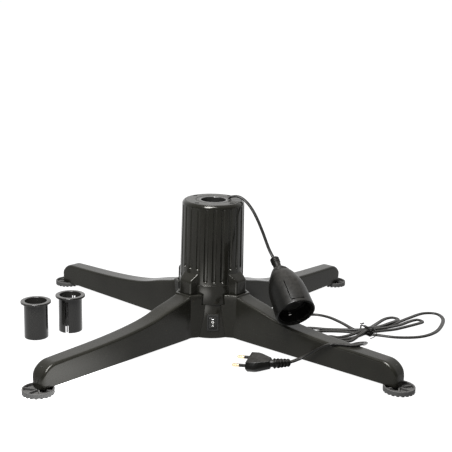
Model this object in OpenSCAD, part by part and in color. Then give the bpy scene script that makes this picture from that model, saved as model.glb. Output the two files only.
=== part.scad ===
// Rotating stand for a small artificial tree: four plug-in legs, a fixed drum with a turning sleeve
// for the trunk pole, a geared motor and a slip ring underneath, a lead to the wall and a turning
// lead with a socket for the tree's lights. Millimetres, +Z up, origin on the floor at the turning
// axis. The switch faces -Y and the legs lie on the diagonals.

/* [Sleeve] */
// Radius of the bore that takes the trunk pole
bore_r = 16.1; // [15:0.1:17]
// Depth of that bore below the top face
bore_depth = 127; // [100:1:128]
// Wall of the turning sleeve
sleeve_wall = 2.2; // [1.8:0.1:2.6]
// Radius of the ring round the mouth of the bore
collar_r = 22.4; // [22:0.1:24]
// Height of that ring
collar_h = 15; // [10:0.5:20]

/* [Drum] */
// Height of the stand
stand_h = 177.5; // [170:0.5:190]
// Radius of the drum at its top
drum_top_r = 40.2; // [39.6:0.1:40.6]
// Radius of the drum where the flutes end
drum_low_r = 41.4; // [41:0.1:41.8]
// Wall of the drum
drum_wall = 2.6; // [2:0.1:3]
// Rounding of the drum's top edge
drum_round = 5; // [2:0.5:6]
// Number of flutes round the drum
flute_count = 24; // [12:1:30]
// Radius of a flute's groove
flute_r = 2.3; // [1.5:0.1:3]
// Depth of a flute
flute_depth = 1.3; // [0.6:0.1:1.6]
// Height of the step between the drum and its skirt
skirt_top = 73.4; // [70:0.1:76]
// Height of the skirt's lower edge
skirt_low = 48.4; // [46:0.1:50]
// Radius of the skirt
skirt_r = 42; // [41.9:0.1:42.6]

/* [Cover] */
// Radius of the cover in the drum's top
cover_r = 36.5; // [35:0.5:37]
// Thickness of the cover
cover_t = 3; // [2:0.5:4]
// Radius at which the cover's screws sit
cover_screw_r = 31.5; // [30:0.5:32]

/* [Base] */
// Gap between the floor and the underside of the base
base_gap = 2.8; // [2:0.1:4]
// Radius of the base at its foot
base_r = 41; // [40.8:0.1:41.2]
// Wall of the base
base_wall = 2.6; // [2:0.1:3]
// Thickness of the bottom plate
plate_t = 2.7; // [2:0.1:3.5]
// Radius at which the four long screws sit
post_ring_r = 34.4; // [34:0.1:34.8]
// Radius of the posts that they go through
post_r = 4.4; // [4:0.1:4.8]

/* [Boss] */
// Reach of a leg boss from the turning axis
boss_reach = 51.5; // [50:0.5:52.5]
// Half width of a boss at its outer face
boss_half_out = 9.5; // [8:0.1:10]
// Half width of a boss at the drum
boss_half_in = 14.6; // [13:0.1:15]
// Height of a boss at the drum
boss_high = 86.5; // [84:0.5:90]
// Height of a boss at its outer face
boss_low = 79.5; // [77:0.5:82]
// Height of the lower end of the tongue that plugs into a leg
tongue_low = 30; // [29:1:36]

/* [Legs] */
// Reach of a leg from the turning axis
leg_reach = 290; // [260:1:320]
// Height of a leg's top near its tip
leg_tip_h = 34.4; // [30:0.2:40]
// Height of a leg's top where it meets its head
leg_head_h = 60; // [56:0.5:60.5]
// How sharply a leg's top falls away from its head
leg_sweep = 3.5; // [1.5:0.05:4]
// Slope of a leg's top towards its tip
leg_slope = 0.02; // [0:0.001:0.03]
// Fullness of a leg's top just outside its head
leg_shoulder = 2.8; // [0:0.1:3.5]
// Half width of a leg's top at its head
leg_half_head = 13; // [12.6:0.1:13.6]
// Half width of a leg's top at its tip
leg_half_tip = 11; // [9:0.1:12]
// Half width of a leg's underside
leg_half_low = 9.8; // [9:0.1:10.4]
// Height of a leg's underside at the tip
leg_tip_low = 6.6; // [6.5:0.1:8]
// Wall of a leg
leg_wall = 2.4; // [2:0.1:3]
// Rounding along a leg's top edges
leg_fillet = 3.2; // [1:0.1:4]
// Radius of a leg's rounded tip, seen from the side
leg_nose_r = 21; // [12:1:24]
// Height of the rim of a leg's head
head_rim = 62; // [61:0.5:64]

/* [Feet] */
// Radius of a foot
foot_r = 18.5; // [15:0.5:20]
// Distance from a leg's tip back to the middle of its foot
foot_inset = 2; // [0:0.5:6]
// Height of a foot's rim
foot_h = 6.3; // [5:0.1:6.4]
// Wall of a foot's rim
foot_wall = 2.3; // [1.5:0.1:3]
// Number of grip notches in a foot
foot_notches = 20; // [8:1:28]

/* [Drive] */
// Module of the gears
gear_module = 1; // [1:0.1:1]
// Teeth of the gear on the sleeve
sleeve_teeth = 24; // [20:1:24]
// Teeth of the pinion on the motor shaft
pinion_teeth = 11; // [9:1:11]
// Height of the gear teeth
gear_h = 4.8; // [4:0.1:5]
// Radius of the motor can
motor_r = 24.5; // [22:0.5:24.5]
// Height of the motor can
motor_h = 20; // [16:0.5:22]
// Radius of the motor shaft
shaft_r = 2.5; // [2:0.1:2.8]
// Radius of the sleeve's spindle
spindle_r = 4; // [3:0.1:5]
// Running clearance of the round fits, on the radius
run_gap = 0.06; // [0.02:0.01:0.1]
// Thickness of the deck that carries the motor
deck_t = 3; // [2:0.5:4]

/* [Switch] */
// Width of the switch's frame
switch_w = 15; // [14:0.5:16]
// Height of the switch's frame
switch_h = 21.6; // [20:0.2:23]
// Height of the middle of the switch
switch_z = 24.3; // [23:0.1:26]
// Width of the rocker
rocker_w = 9.6; // [8:0.1:10]
// Height of the rocker
rocker_h = 14.8; // [13:0.1:15.4]

/* [Adapters] */
// Radius of an adapter's tube
adapter_r = 15.2; // [14:0.1:15.5]
// Radius of an adapter's hole
adapter_hole_r = 13.9; // [10:0.1:14.2]
// Radius of an adapter's flange
adapter_flange_r = 19.3; // [17:0.1:20]
// Height of an adapter
adapter_h = 48.4; // [30:0.2:60]
// Width of the two slits in the split adapter
slit_w = 4.4; // [2:0.1:6]

/* [Coupling] */
// Radius of the coupling's mouth
coupling_r = 24.5; // [23:0.1:25]
// Length of the coupling
coupling_len = 71.5; // [64:0.5:72]
// Depth of the coupling's recess
recess_depth = 17.5; // [14:0.5:19]
// Radius of the coupling's recess
recess_r = 20.2; // [19:0.1:20.6]

/* [Plug] */
// Length of the plug's body
plug_len = 30; // [28:1:36]
// Width of the plug's body at its face
plug_w = 33; // [30:1:35]
// Thickness of the plug's body
plug_t = 13.4; // [12:0.1:14]
// Length of the plug's pins
pin_len = 16; // [15:0.5:19]
// Distance between the plug's pins
pin_gap = 18.6; // [17.5:0.1:19]

/* [Leads] */
// Width of the flat two-core lead
lead_w = 5.4; // [4.5:0.1:6]
// Thickness of the flat two-core lead
lead_t = 2.7; // [2.2:0.1:3.2]

/* [Hidden] */

$fn = 72;
eps = 0.01;
black = [0.16, 0.16, 0.15];
soft_black = [0.12, 0.12, 0.12];
steel = [0.7, 0.7, 0.72];
brass = [0.78, 0.62, 0.3];
seat_gap = 0.3;      // between pieces that sit in each other without being a fit
side_gap = 0.5;      // round a tongue in its socket

// heights of the stack, from the floor up
plate_top = base_gap + plate_t;
deck_low = 36;
deck_top = deck_low + deck_t;
bush_flange_t = 1;
washer_t = 1;
gear_low = deck_top + bush_flange_t + washer_t;
sleeve_low = gear_low + gear_h;
bore_low = stand_h - bore_depth;
sleeve_r = bore_r + sleeve_wall;
cover_low = stand_h - cover_t;
shelf_t = 3;         // ledge in the drum under the cover
base_top = 56;       // top of the base, inside the skirt
base_neck_r = skirt_r - drum_wall - seat_gap;
base_up_r = base_r - 0.6;
collar_low = stand_h - collar_h;
bush_ring_r = collar_r + 2.6;
shaft_reach = gear_module * (sleeve_teeth + pinion_teeth) / 2;
motor_back = 8;      // how far the can sits behind the turning axis
leg_turns = [-45, 45, 135, -135];

// slip ring stack on the sleeve
carrier_low = 96;
carrier_h = 22;
carrier_r = sleeve_r + 2.6;
ring_r = carrier_r + 0.8;
ring_h = 4;
ring_lows = [carrier_low + 4, carrier_low + 14];

// the socket lead's way out of the collar
exit_r = (sleeve_r + collar_r) / 2;

// ------------------------------------------------------------------ shapes and helpers

module ring(r_out, r_in, low, high) {
    translate([0, 0, low]) difference() {
        cylinder(r = r_out, h = high - low);
        translate([0, 0, -eps]) cylinder(r = r_in, h = high - low + 2 * eps);
    }
}

module four_turned(first = 45) {
    for (k = [0:3]) rotate([0, 0, first + 90 * k]) children();
}

function mix(a, b, f) = a + (b - a) * f;
function unit(v) = v / norm(v);
function turned(p, a) = [p[0] * cos(a) - p[1] * sin(a), p[0] * sin(a) + p[1] * cos(a)];

// closed mesh through a row of outlines that have the same number of points
module loft(rows) {
    n = len(rows);
    m = len(rows[0]);
    sides = [for (i = [0:n - 2], j = [0:m - 1]) let (k = (j + 1) % m)
        each [[i * m + j, (i + 1) * m + k, i * m + k], [i * m + j, (i + 1) * m + j, (i + 1) * m + k]]];
    first = [for (j = [0:m - 1]) j];
    last = [for (j = [m - 1:-1:0]) (n - 1) * m + j];
    polyhedron(points = [for (r = rows) each r], faces = concat([first], sides, [last]));
}

// a point between two route points on a smooth curve
function between(p, i) = let (a = p[max(i - 1, 0)], b = p[i], c = p[i + 1], d = p[min(i + 2, len(p) - 1)])
    (9 * (b + c) - a - d) / 16;
function smooth(p) = [for (i = [0:len(p) - 1]) each i < len(p) - 1 ? [p[i], between(p, i)] : [p[i]]];
function heading(p, i) = unit(p[min(i + 1, len(p) - 1)] - p[max(i - 1, 0)]);

// flat lead swept along points; its broad side turns from one way to another over a few points
module lead(points, from, to, steps) {
    rows = [for (i = [0:len(points) - 1])
        let (t = heading(points, i), wide = mix(from, to, min(max(i - 2, 0) / steps, 1)),
             a = unit(wide - (wide * t) * t), b = cross(t, a))
        [for (k = [0:7]) points[i] + a * lead_w / 2 * cos(45 * k + 22.5) / cos(22.5)
                                   + b * lead_t / 2 * sin(45 * k + 22.5) / cos(22.5)]];
    loft(rows);
}

// lead that lies with its broad side down
module flat_lead(points) {
    rows = [for (i = [0:len(points) - 1])
        let (t = heading(points, i), a = unit(cross([0, 0, 1], t)), b = cross(t, a))
        [for (k = [0:7]) points[i] + a * lead_w / 2 * cos(45 * k + 22.5) / cos(22.5)
                                   + b * lead_t / 2 * sin(45 * k + 22.5) / cos(22.5)]];
    loft(rows);
}

// ------------------------------------------------------------------ gears

pressure = 20;
tooth_slack = 0.07;  // share of a pitch left open between meshing teeth
function involute(a) = tan(a) * 180 / PI - a;
function tooth_half(r, n) = let (pitch_r = gear_module * n / 2, base = pitch_r * cos(pressure))
    90 / n * (1 - 2 * tooth_slack) + involute(pressure) - (r > base ? involute(acos(base / r)) : 0);
function gear_outline(n) = let (
        pitch_r = gear_module * n / 2,
        low = pitch_r - 1.1 * gear_module,
        high = pitch_r + 0.78 * gear_module,
        steps = [for (i = [0:4]) mix(low, high, i / 4)])
    [for (t = [0:n - 1]) each concat(
        [for (r = steps) turned([r, 0], 360 / n * t - tooth_half(r, n))],
        [for (i = [4:-1:0]) turned([steps[i], 0], 360 / n * t + tooth_half(steps[i], n))])];

module spur_gear(n, hole) {
    linear_extrude(height = gear_h) difference() {
        polygon(gear_outline(n));
        circle(r = hole);
    }
}

// ------------------------------------------------------------------ base

long_screw_r = 1.9;
screw_head_r = 3.4;
screw_head_t = 1.8;
gland_turn = 0;      // the mains lead leaves towards +X
gland_z = 12;
switch_hole_w = switch_w - 1.8;
switch_hole_h = switch_h - 1.8;
pad_face = base_r - 0.3;  // flat face behind the switch, from the axis
ledge_w = 3;

module posts(low, high) {
    four_turned() translate([post_ring_r, 0, low]) cylinder(r = post_r, h = high - low, $fn = 36);
}

module post_holes(low, high, r) {
    four_turned() translate([post_ring_r, 0, low]) cylinder(r = r, h = high - low, $fn = 36);
}

module base_hub() {
    color(black) difference() {
        union() {
            difference() {
                union() {
                    translate([0, 0, base_gap]) cylinder(r1 = base_r, r2 = base_up_r, h = skirt_low - seat_gap - base_gap);
                    cylinder(r = base_neck_r, h = base_top);
                    translate([-switch_w / 2 - 1.2, -pad_face, switch_z - switch_h / 2 - 1.4])
                        cube([switch_w + 2.4, 8, switch_h + 2.8]);
                }
                translate([0, 0, -eps]) cylinder(r = base_neck_r - base_wall, h = base_top + 1);
                translate([0, 0, -eps]) cylinder(r = base_up_r - base_wall, h = deck_low);
                translate([0, 0, -eps]) cylinder(r = base_r + 1, h = base_gap + eps);
            }
            posts(plate_top, deck_low);
        }
        translate([0, 0, -eps]) cylinder(r = base_up_r - base_wall, h = plate_top + eps);
        post_holes(0, base_top, long_screw_r + 0.2);
        translate([-switch_hole_w / 2, -base_r - 1, switch_z - switch_hole_h / 2])
            cube([switch_hole_w, 14, switch_hole_h]);
        rotate([0, 90, gland_turn]) translate([-gland_z, 0, 30]) cylinder(r = gland_r, h = 20, $fn = 36);
    }
}

module base_plate() {
    color(black) difference() {
        translate([0, 0, base_gap]) cylinder(r = base_up_r - base_wall - 0.1, h = plate_t);
        post_holes(0, plate_top + 1, long_screw_r + 0.2);
        post_holes(0, base_gap + screw_head_t, screw_head_r + 0.2);
    }
}

module base_screws() {
    color(steel) four_turned() translate([post_ring_r, 0, base_gap]) {
        difference() {
            cylinder(r = screw_head_r, h = screw_head_t, $fn = 36);
            translate([-0.4, -2, -eps]) cube([0.8, 4, 0.8]);
            translate([-2, -0.4, -eps]) cube([4, 0.8, 0.8]);
        }
        cylinder(r = long_screw_r, h = drum_post_high - 4 - base_gap, $fn = 36);
    }
}

// ------------------------------------------------------------------ drum

drum_post_low = deck_top + seat_gap;
drum_post_high = 84;
flute_top = stand_h - 6.2;
flute_low = skirt_top + 3.6;
flute_low_boss = boss_high + 6;
flute_lean = atan((drum_low_r - drum_top_r) / (stand_h - 8.5 - skirt_top));

function drum_radius(z) = mix(drum_low_r, drum_top_r, (z - skirt_top) / (stand_h - 8.5 - skirt_top));
rim_r = drum_top_r - 0.15;

module drum_solid() {
    rotate_extrude() polygon(concat(
        [[0, skirt_low], [skirt_r, skirt_low], [skirt_r - 0.2, skirt_top - 0.2], [drum_low_r, skirt_top]],
        [for (a = [0:15:90]) [rim_r - drum_round + drum_round * cos(a),
                              stand_h - drum_round + drum_round * sin(a)]],
        [[0, stand_h]]));
}

module drum_hollow() {
    translate([0, 0, skirt_low - 1]) cylinder(r = skirt_r - drum_wall, h = skirt_top - skirt_low - 1);
    translate([0, 0, skirt_low - 1]) cylinder(r = drum_top_r - drum_wall, h = cover_low - shelf_t - skirt_low + 1);
    cylinder(r = bush_ring_r, h = stand_h);
    translate([0, 0, cover_low]) cylinder(r = cover_r, h = stand_h);
}

// one groove on the drum's side, with round ends
module flute(low) {
    length = (flute_top - low) / cos(flute_lean) - 2 * flute_r;
    translate([drum_radius(low + flute_r) + flute_r - flute_depth, 0, low + flute_r])
        rotate([0, -flute_lean, 0]) union() {
            cylinder(r = flute_r, h = length, $fn = 24);
            sphere(r = flute_r, $fn = 24);
            translate([0, 0, length]) sphere(r = flute_r, $fn = 24);
        }
}

// a flute that would run onto a boss stops above it
module flutes() {
    for (k = [0:flute_count - 1]) {
        turn = 360 / flute_count * k - 90;
        off = abs(((turn + 360) % 90) - 45);
        rotate([0, 0, turn]) flute(off < 20 ? flute_low_boss : flute_low);
    }
}

function boss_half(s, gap = 0) = mix(boss_half_in, boss_half_out, (s - 36) / (boss_reach - 36)) + gap;

// outline of a boss between two distances from the axis, seen from above
module boss_plan(from, to, gap = 0) {
    polygon([[from, -boss_half(from, gap)], [to, -boss_half(to, gap)],
             [to, boss_half(to, gap)], [from, boss_half(from, gap)]]);
}

// side view of a boss, with its sloping top and rounded corner
boss_round = 5;
module boss_side() {
    slope = (boss_high - boss_low) / (boss_reach - drum_low_r);
    lean = atan(slope);
    meet = boss_reach - boss_round * (1 - sin(lean));
    mid = boss_low + slope * (boss_reach - meet) - boss_round * cos(lean);
    rotate([90, 0, 0]) translate([0, 0, -20]) linear_extrude(height = 40)
        polygon(concat([[30, skirt_low], [boss_reach, skirt_low]],
            [for (i = [0:5]) let (a = (90 - lean) * i / 5)
                [boss_reach - boss_round * (1 - cos(a)), mid + boss_round * sin(a)]],
            [[30, boss_high + slope * (drum_low_r - 30)]]));
}

tongue_in = 44.6;
module tongue(gap = 0, low = tongue_low, high = skirt_low + 1) {
    translate([0, 0, low]) linear_extrude(height = high - low)
        boss_plan(tongue_in - gap / 2, boss_reach + gap, gap);
}

module bosses() {
    for (turn = leg_turns) rotate([0, 0, turn]) union() {
        intersection() {
            boss_side();
            linear_extrude(height = stand_h) boss_plan(30, boss_reach);
        }
        tongue(-0.3);
    }
}

module drum_housing() {
    color(black) difference() {
        union() {
            difference() {
                union() {
                    drum_solid();
                    bosses();
                }
                drum_hollow();
                flutes();
            }
            intersection() {
                posts(drum_post_low, drum_post_high);
                cylinder(r = skirt_r - 1, h = stand_h);
            }
            // struts that carry the brush holder
            for (side = [-1, 1]) translate([0, side * 8, 0])
                translate([-drum_top_r + 1, -1.5, carrier_low - 2])
                    cube([drum_top_r - 1 - holder_out - 2 - seat_gap, 3, carrier_h + 4]);
        }
        base_space();
        post_holes(drum_post_low - 1, drum_post_high - 3, long_screw_r);
        cover_pilot_holes(cover_low - shelf_t - 1);
    }
}

// what the base and its neck take up under the drum's posts
module base_space() {
    difference() {
        cylinder(r = base_neck_r + seat_gap, h = base_top + seat_gap);
        translate([0, 0, -1]) cylinder(r = base_neck_r - base_wall - seat_gap, h = base_top + 3);
    }
}

module cover_pilot_holes(low) {
    four_turned() translate([cover_screw_r, 0, low]) cylinder(r = 1.2, h = stand_h, $fn = 24);
}

module top_cover() {
    color(black) difference() {
        union() {
            ring(cover_r - 0.15, bush_ring_r - 1, cover_low, stand_h);
            ring(cover_r - 0.15, collar_r + seat_gap, stand_h - 1.4, stand_h);
        }
        four_turned() translate([cover_screw_r, 0, 0]) {
            cylinder(r = 1.7, h = stand_h + 1, $fn = 24);
            translate([0, 0, stand_h - 1.7]) cylinder(r = 2.9, h = 3, $fn = 36);
        }
    }
}

module cover_screws() {
    color(soft_black) four_turned() translate([cover_screw_r, 0, 0]) difference() {
        union() {
            translate([0, 0, cover_low - shelf_t + 0.5]) cylinder(r = 1.15, h = cover_t + shelf_t - 1.5, $fn = 24);
            translate([0, 0, stand_h - 1.7]) cylinder(r = 2.7, h = 1.3, $fn = 36);
        }
        translate([0, 0, stand_h - 1.1]) {
            translate([-0.35, -1.7, 0]) cube([0.7, 3.4, 2]);
            translate([-1.7, -0.35, 0]) cube([3.4, 0.7, 2]);
        }
    }
}

// ------------------------------------------------------------------ legs and feet

nose_start = leg_reach - leg_nose_r;
bay_start = boss_reach + 10;
bay_count = 4;       // hollows along a leg, with ribs between them
bay_rib = 3;
bay_pitch = (leg_reach - leg_wall - 0.3 + bay_rib - bay_start) / bay_count;
leg_corner_r = 5;
head_out = boss_reach + side_gap + 3.4;  // outer face of a leg's head
head_start = boss_reach - 1.5;  // where the beam begins, inside the head
base_clear_r = base_r + seat_gap;
skirt_clear_r = skirt_r + seat_gap;

function fall(s) = (nose_start - min(s, nose_start)) / (nose_start - head_out);
function leg_line(s) = leg_tip_h + leg_slope * (nose_start - s)
    + (leg_head_h - leg_tip_h - leg_slope * (nose_start - head_out)) * pow(min(fall(s), 1.02), leg_sweep)
    + leg_shoulder * exp(-pow((s - head_out - 19) / 12, 2));
function leg_top(s, cut) = let (r = leg_nose_r - cut)
    s <= nose_start ? leg_line(s) - cut : leg_tip_h - leg_nose_r + sqrt(max(r * r - pow(s - nose_start, 2), 0));
function leg_low(s) = mix(base_gap + 0.2, leg_tip_low, (s - head_start) / (leg_reach - head_start));
function leg_half(s, z) = let (top = mix(leg_half_head, leg_half_tip, (s - head_out) / (leg_reach - head_out)),
        full = leg_top(min(s, nose_start), 0))
    mix(leg_half_low, top, (z - leg_low(s)) / (full - leg_low(s)));
function corner_cut(s, cut) = let (r = leg_corner_r - cut / 2, over = s - (leg_reach - cut - r))
    over > 0 ? r - sqrt(max(r * r - over * over, 0)) : 0;

// outline across a leg at a distance s from the axis; cut shrinks it to the inside of the wall
function leg_row(s, cut) = let (
        low = cut > 0 ? -1 : leg_low(s),
        top = leg_top(s, cut),
        f = max(min(leg_fillet, top - leg_low(s) - 1.5) - cut / 2, 0.6),
        inset = cut + corner_cut(s, cut),
        w_low = leg_half(s, leg_low(s)) - inset,
        w_top = leg_half(s, top) - inset,
        right = [for (a = [0:30:90]) [w_top - f + f * cos(a), top - f + f * sin(a)]])
    [for (p = concat([[-w_low, low], [w_low, low]], right, [for (i = [3:-1:0]) [-right[i][0], right[i][1]]]))
        [s, p[0], p[1]]];

leg_stations = concat([for (i = [0:9]) mix(head_start, leg_reach / 2, i / 9)],
    [for (i = [1:5]) mix(leg_reach / 2, nose_start, i / 5)],
    [for (a = [15:15:75]) nose_start + leg_nose_r * sin(a)], [leg_reach - 0.25, leg_reach]);

module leg_beam() {
    loft([for (s = leg_stations) leg_row(s, 0)]);
}

// one stretch of the hollow under a leg
module leg_pocket(from, to) {
    loft([for (i = [0:4]) leg_row(mix(from, to, i / 4), leg_wall)]);
}

// outline of a leg's head at one height; its wings splay back from the beam to the hub
wing_splay = 0.563;
head_low_edge = 48;
head_low_half = 9.5;
function head_row(z, edge_s, edge_half) = let (half = edge_half + wing_splay * (edge_s - 36))
    [for (p = [[36, -half], [edge_s, -edge_half], [head_out, -edge_half],
               [head_out, edge_half], [edge_s, edge_half], [36, half]]) [p[0], p[1], z]];

module leg_head() {
    loft([head_row(base_gap + 0.2, head_low_edge, head_low_half), head_row(head_rim, head_out - 1.4, leg_half_head)]);
}

foot_reach = leg_reach - foot_inset;
foot_screw_in = 10;  // how far a foot's screw sits inside the middle of the foot
foot_screw_s = foot_reach - foot_screw_in;

module leg() {
    color(black) difference() {
        union() {
            difference() {
                union() {
                    leg_beam();
                    leg_head();
                }
                for (k = [0:bay_count - 1])
                    leg_pocket(bay_start + bay_pitch * k, bay_start + bay_pitch * (k + 1) - bay_rib);
                translate([45, -6.6, -1]) cube([15, 13.2, tongue_low - 4]);
            }
            intersection() {
                translate([foot_screw_s, 0, leg_low(foot_screw_s)]) cylinder(r = 5, h = 24, $fn = 36);
                leg_beam();
            }
        }
        tongue(side_gap, tongue_low - 0.5, head_rim + 10);
        translate([0, 0, skirt_low - 0.3]) linear_extrude(height = 40) boss_plan(30, boss_reach + side_gap, side_gap);
        translate([30, -30, skirt_low - 0.3]) cube([10.2, 60, 40]);
        translate([0, 0, -1]) cylinder(r = base_clear_r, h = skirt_low + 2);
        translate([0, 0, skirt_low - 0.3]) cylinder(r = skirt_clear_r, h = 100);
        translate([foot_screw_s, 0, 0]) cylinder(r = 1.5, h = 18, $fn = 24);
    }
}

module leg_front_right() rotate([0, 0, leg_turns[0]]) leg();
module leg_rear_right() rotate([0, 0, leg_turns[1]]) leg();
module leg_rear_left() rotate([0, 0, leg_turns[2]]) leg();
module leg_front_left() rotate([0, 0, leg_turns[3]]) leg();

foot_floor_low = 0.9;
foot_floor_t = 1.8;
module foot() {
    color(soft_black) translate([foot_reach, 0, 0]) difference() {
        union() {
            ring(foot_r, foot_r - foot_wall, 0, foot_h);
            translate([0, 0, foot_floor_low]) cylinder(r = foot_r - 1, h = foot_floor_t);
            for (turn = [0, 60, 120]) rotate([0, 0, turn])
                translate([-foot_r + 1, -0.9, foot_floor_low]) cube([2 * foot_r - 2, 1.8, 4.4]);
            translate([-foot_screw_in, 0, foot_floor_low])
                cylinder(r = 5, h = leg_low(foot_screw_s) - foot_floor_low, $fn = 36);
        }
        for (k = [0:foot_notches - 1]) rotate([0, 0, 360 / foot_notches * k])
            translate([foot_r - foot_wall - 0.5, -1.2, -1]) cube([foot_wall + 2, 2.4, 2.1]);
        translate([-foot_screw_in, 0, -1]) cylinder(r = 1.7, h = 12, $fn = 24);
        translate([-foot_screw_in, 0, -1]) cylinder(r = 3.5, h = 4, $fn = 36);
    }
}

module foot_front_right() rotate([0, 0, leg_turns[0]]) foot();
module foot_rear_right() rotate([0, 0, leg_turns[1]]) foot();
module foot_rear_left() rotate([0, 0, leg_turns[2]]) foot();
module foot_front_left() rotate([0, 0, leg_turns[3]]) foot();

module foot_screws() {
    color(steel) for (turn = leg_turns) rotate([0, 0, turn]) translate([foot_screw_s, 0, 1]) difference() {
        union() {
            cylinder(r = 3.1, h = 2, $fn = 36);
            cylinder(r = 1.45, h = 14, $fn = 24);
        }
        translate([-0.4, -2, -eps]) cube([0.8, 4, 0.9]);
        translate([-2, -0.4, -eps]) cube([4, 0.8, 0.9]);
    }
}

// ------------------------------------------------------------------ drive

bush_r = spindle_r + 3;
module motor_deck() {
    color([0.55, 0.56, 0.58]) difference() {
        translate([0, 0, deck_low]) cylinder(r = base_neck_r - base_wall - 0.2, h = deck_t);
        translate([0, 0, deck_low - 1]) cylinder(r = bush_r + 0.02, h = deck_t + 2);
        translate([0, shaft_reach, deck_low - 1]) cylinder(r = shaft_r + 1.5, h = deck_t + 2, $fn = 36);
        post_holes(deck_low - 1, deck_top + 1, long_screw_r + 0.2);
        for (side = [-1, 1]) translate([side * ear_x, motor_back, deck_low - 1])
            cylinder(r = 1.2, h = deck_t + 2, $fn = 24);
    }
}

ear_x = 28.6;
motor_low = deck_low - motor_h;
module motor_can() {
    color([0.75, 0.76, 0.78]) difference() {
        union() {
            translate([0, motor_back, motor_low]) cylinder(r = motor_r, h = motor_h - 1.2);
            translate([0, motor_back, deck_low - 2]) cylinder(r = motor_r - 1, h = 2);
            for (side = [-1, 1]) translate([side * ear_x, motor_back, deck_low - 1.5])
                cylinder(r = 3.6, h = 1.5, $fn = 36);
            translate([-ear_x, motor_back - 3.6, deck_low - 1.5]) cube([2 * ear_x, 7.2, 1.5]);
            translate([-8, motor_back - motor_r - 3, motor_low + 3]) cube([16, 6, 10]);
        }
        translate([0, shaft_reach, motor_low + 4]) cylinder(r = shaft_r + run_gap, h = motor_h, $fn = 48);
        for (side = [-1, 1]) translate([side * ear_x, motor_back, motor_low])
            cylinder(r = 1.7, h = motor_h + 1, $fn = 24);
    }
}

module motor_screws() {
    color(steel) for (side = [-1, 1]) translate([side * ear_x, motor_back, deck_low - 1.5]) {
        translate([0, 0, -1.6]) cylinder(r = 2.8, h = 1.6, $fn = 36);
        translate([0, 0, -0.5]) cylinder(r = 1.15, h = 4, $fn = 24);
    }
}

module motor_shaft() {
    color(steel) translate([0, shaft_reach, motor_low + 4.2])
        cylinder(r = shaft_r, h = gear_low + gear_h - motor_low - 4.4, $fn = 48);
}

module drive_pinion() {
    color([0.85, 0.83, 0.75]) translate([0, shaft_reach, gear_low]) rotate([0, 0, pinion_phase])
        spur_gear(pinion_teeth, shaft_r);
}
// a gap of the pinion meets the tooth of the sleeve gear that points at it
pinion_phase = -90 + 180 / pinion_teeth;
gear_phase = 90;

module lower_bush() {
    color([0.72, 0.5, 0.26]) {
        ring(bush_r, spindle_r + run_gap, deck_low, deck_top);
        ring(bush_r + 2, spindle_r + run_gap, deck_top, deck_top + bush_flange_t);
    }
}

module thrust_washer() {
    color([0.9, 0.9, 0.86]) ring(bush_r + 1.6, spindle_r + 0.4, deck_top + bush_flange_t, gear_low);
}

module upper_bush() {
    color([0.9, 0.9, 0.86]) ring(bush_ring_r - 0.02, collar_r + run_gap, collar_low + 1, cover_low);
}

// ------------------------------------------------------------------ turning parts

module tree_sleeve() {
    color(soft_black) difference() {
        union() {
            translate([0, 0, sleeve_low]) cylinder(r = sleeve_r, h = stand_h - sleeve_low);
            translate([0, 0, deck_low + 0.5]) cylinder(r = spindle_r, h = sleeve_low - deck_low);
        }
        translate([0, 0, bore_low]) cylinder(r = bore_r, h = bore_depth + 1);
    }
}

module sleeve_collar() {
    color(black) difference() {
        ring(collar_r, sleeve_r, collar_low, stand_h);
        translate([exit_r - lead_t / 2 - 0.25, -lead_w / 2 - 0.35, collar_low - 1])
            cube([lead_t + 0.5, lead_w + 0.7, collar_h - grommet_t + 1 + eps]);
        translate([exit_r - lead_t / 2 - 0.25, -lead_w / 2 - 0.9, stand_h - grommet_t])
            cube([lead_t + 0.5, lead_w + 1.8, grommet_t + 1]);
    }
}

grommet_t = 2;
module lead_grommet() {
    color(soft_black) difference() {
        translate([exit_r - lead_t / 2 - 0.25, -lead_w / 2 - 0.9, stand_h - grommet_t])
            cube([lead_t + 0.5, lead_w + 1.8, grommet_t + 0.8]);
        translate([exit_r - lead_t / 2 - 0.12, -lead_w / 2 - 0.2, stand_h - grommet_t - 1])
            cube([lead_t + 0.24, lead_w + 0.4, grommet_t + 3]);
    }
}

module sleeve_gear() {
    color([0.85, 0.83, 0.75]) translate([0, 0, gear_low]) rotate([0, 0, gear_phase])
        spur_gear(sleeve_teeth, spindle_r);
}

module slip_ring_carrier() {
    color([0.9, 0.88, 0.8]) difference() {
        ring(carrier_r, sleeve_r, carrier_low, carrier_low + carrier_h);
        for (low = ring_lows) ring(carrier_r + 1, carrier_r - 0.6, low, low + ring_h);
    }
}

module slip_rings() {
    color(brass) for (low = ring_lows) ring(ring_r, carrier_r - 0.6, low, low + ring_h);
}

brush_w = 3;
holder_in = ring_r + 2;
holder_out = drum_top_r - drum_wall - 5.2;
module brush_holder() {
    color([0.35, 0.2, 0.12]) difference() {
        translate([-holder_out, -6.5, carrier_low - 1]) cube([holder_out - holder_in, 13, carrier_h + 2]);
        for (low = ring_lows) translate([-holder_out + 1.5, -brush_w / 2 - 0.1, low + 0.4])
            cube([40, brush_w + 0.2, ring_h - 0.8]);
    }
    color([0.35, 0.2, 0.12]) translate([-holder_out - 2, -9.4, carrier_low + 8]) cube([2.1, 18.8, 6]);
}

module contact_brushes() {
    color([0.2, 0.2, 0.2]) for (low = ring_lows)
        translate([-ring_r - 6.2, -brush_w / 2, low + 0.5]) cube([6, brush_w, ring_h - 1]);
}

module brush_springs() {
    color(steel) for (low = ring_lows) translate([-holder_out + 1.6, 0, low + ring_h / 2]) rotate([0, 90, 0])
        cylinder(r = 1.3, h = holder_out - 1.6 - ring_r - 6.2 - 0.05, $fn = 24);
}

// ------------------------------------------------------------------ switch

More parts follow.
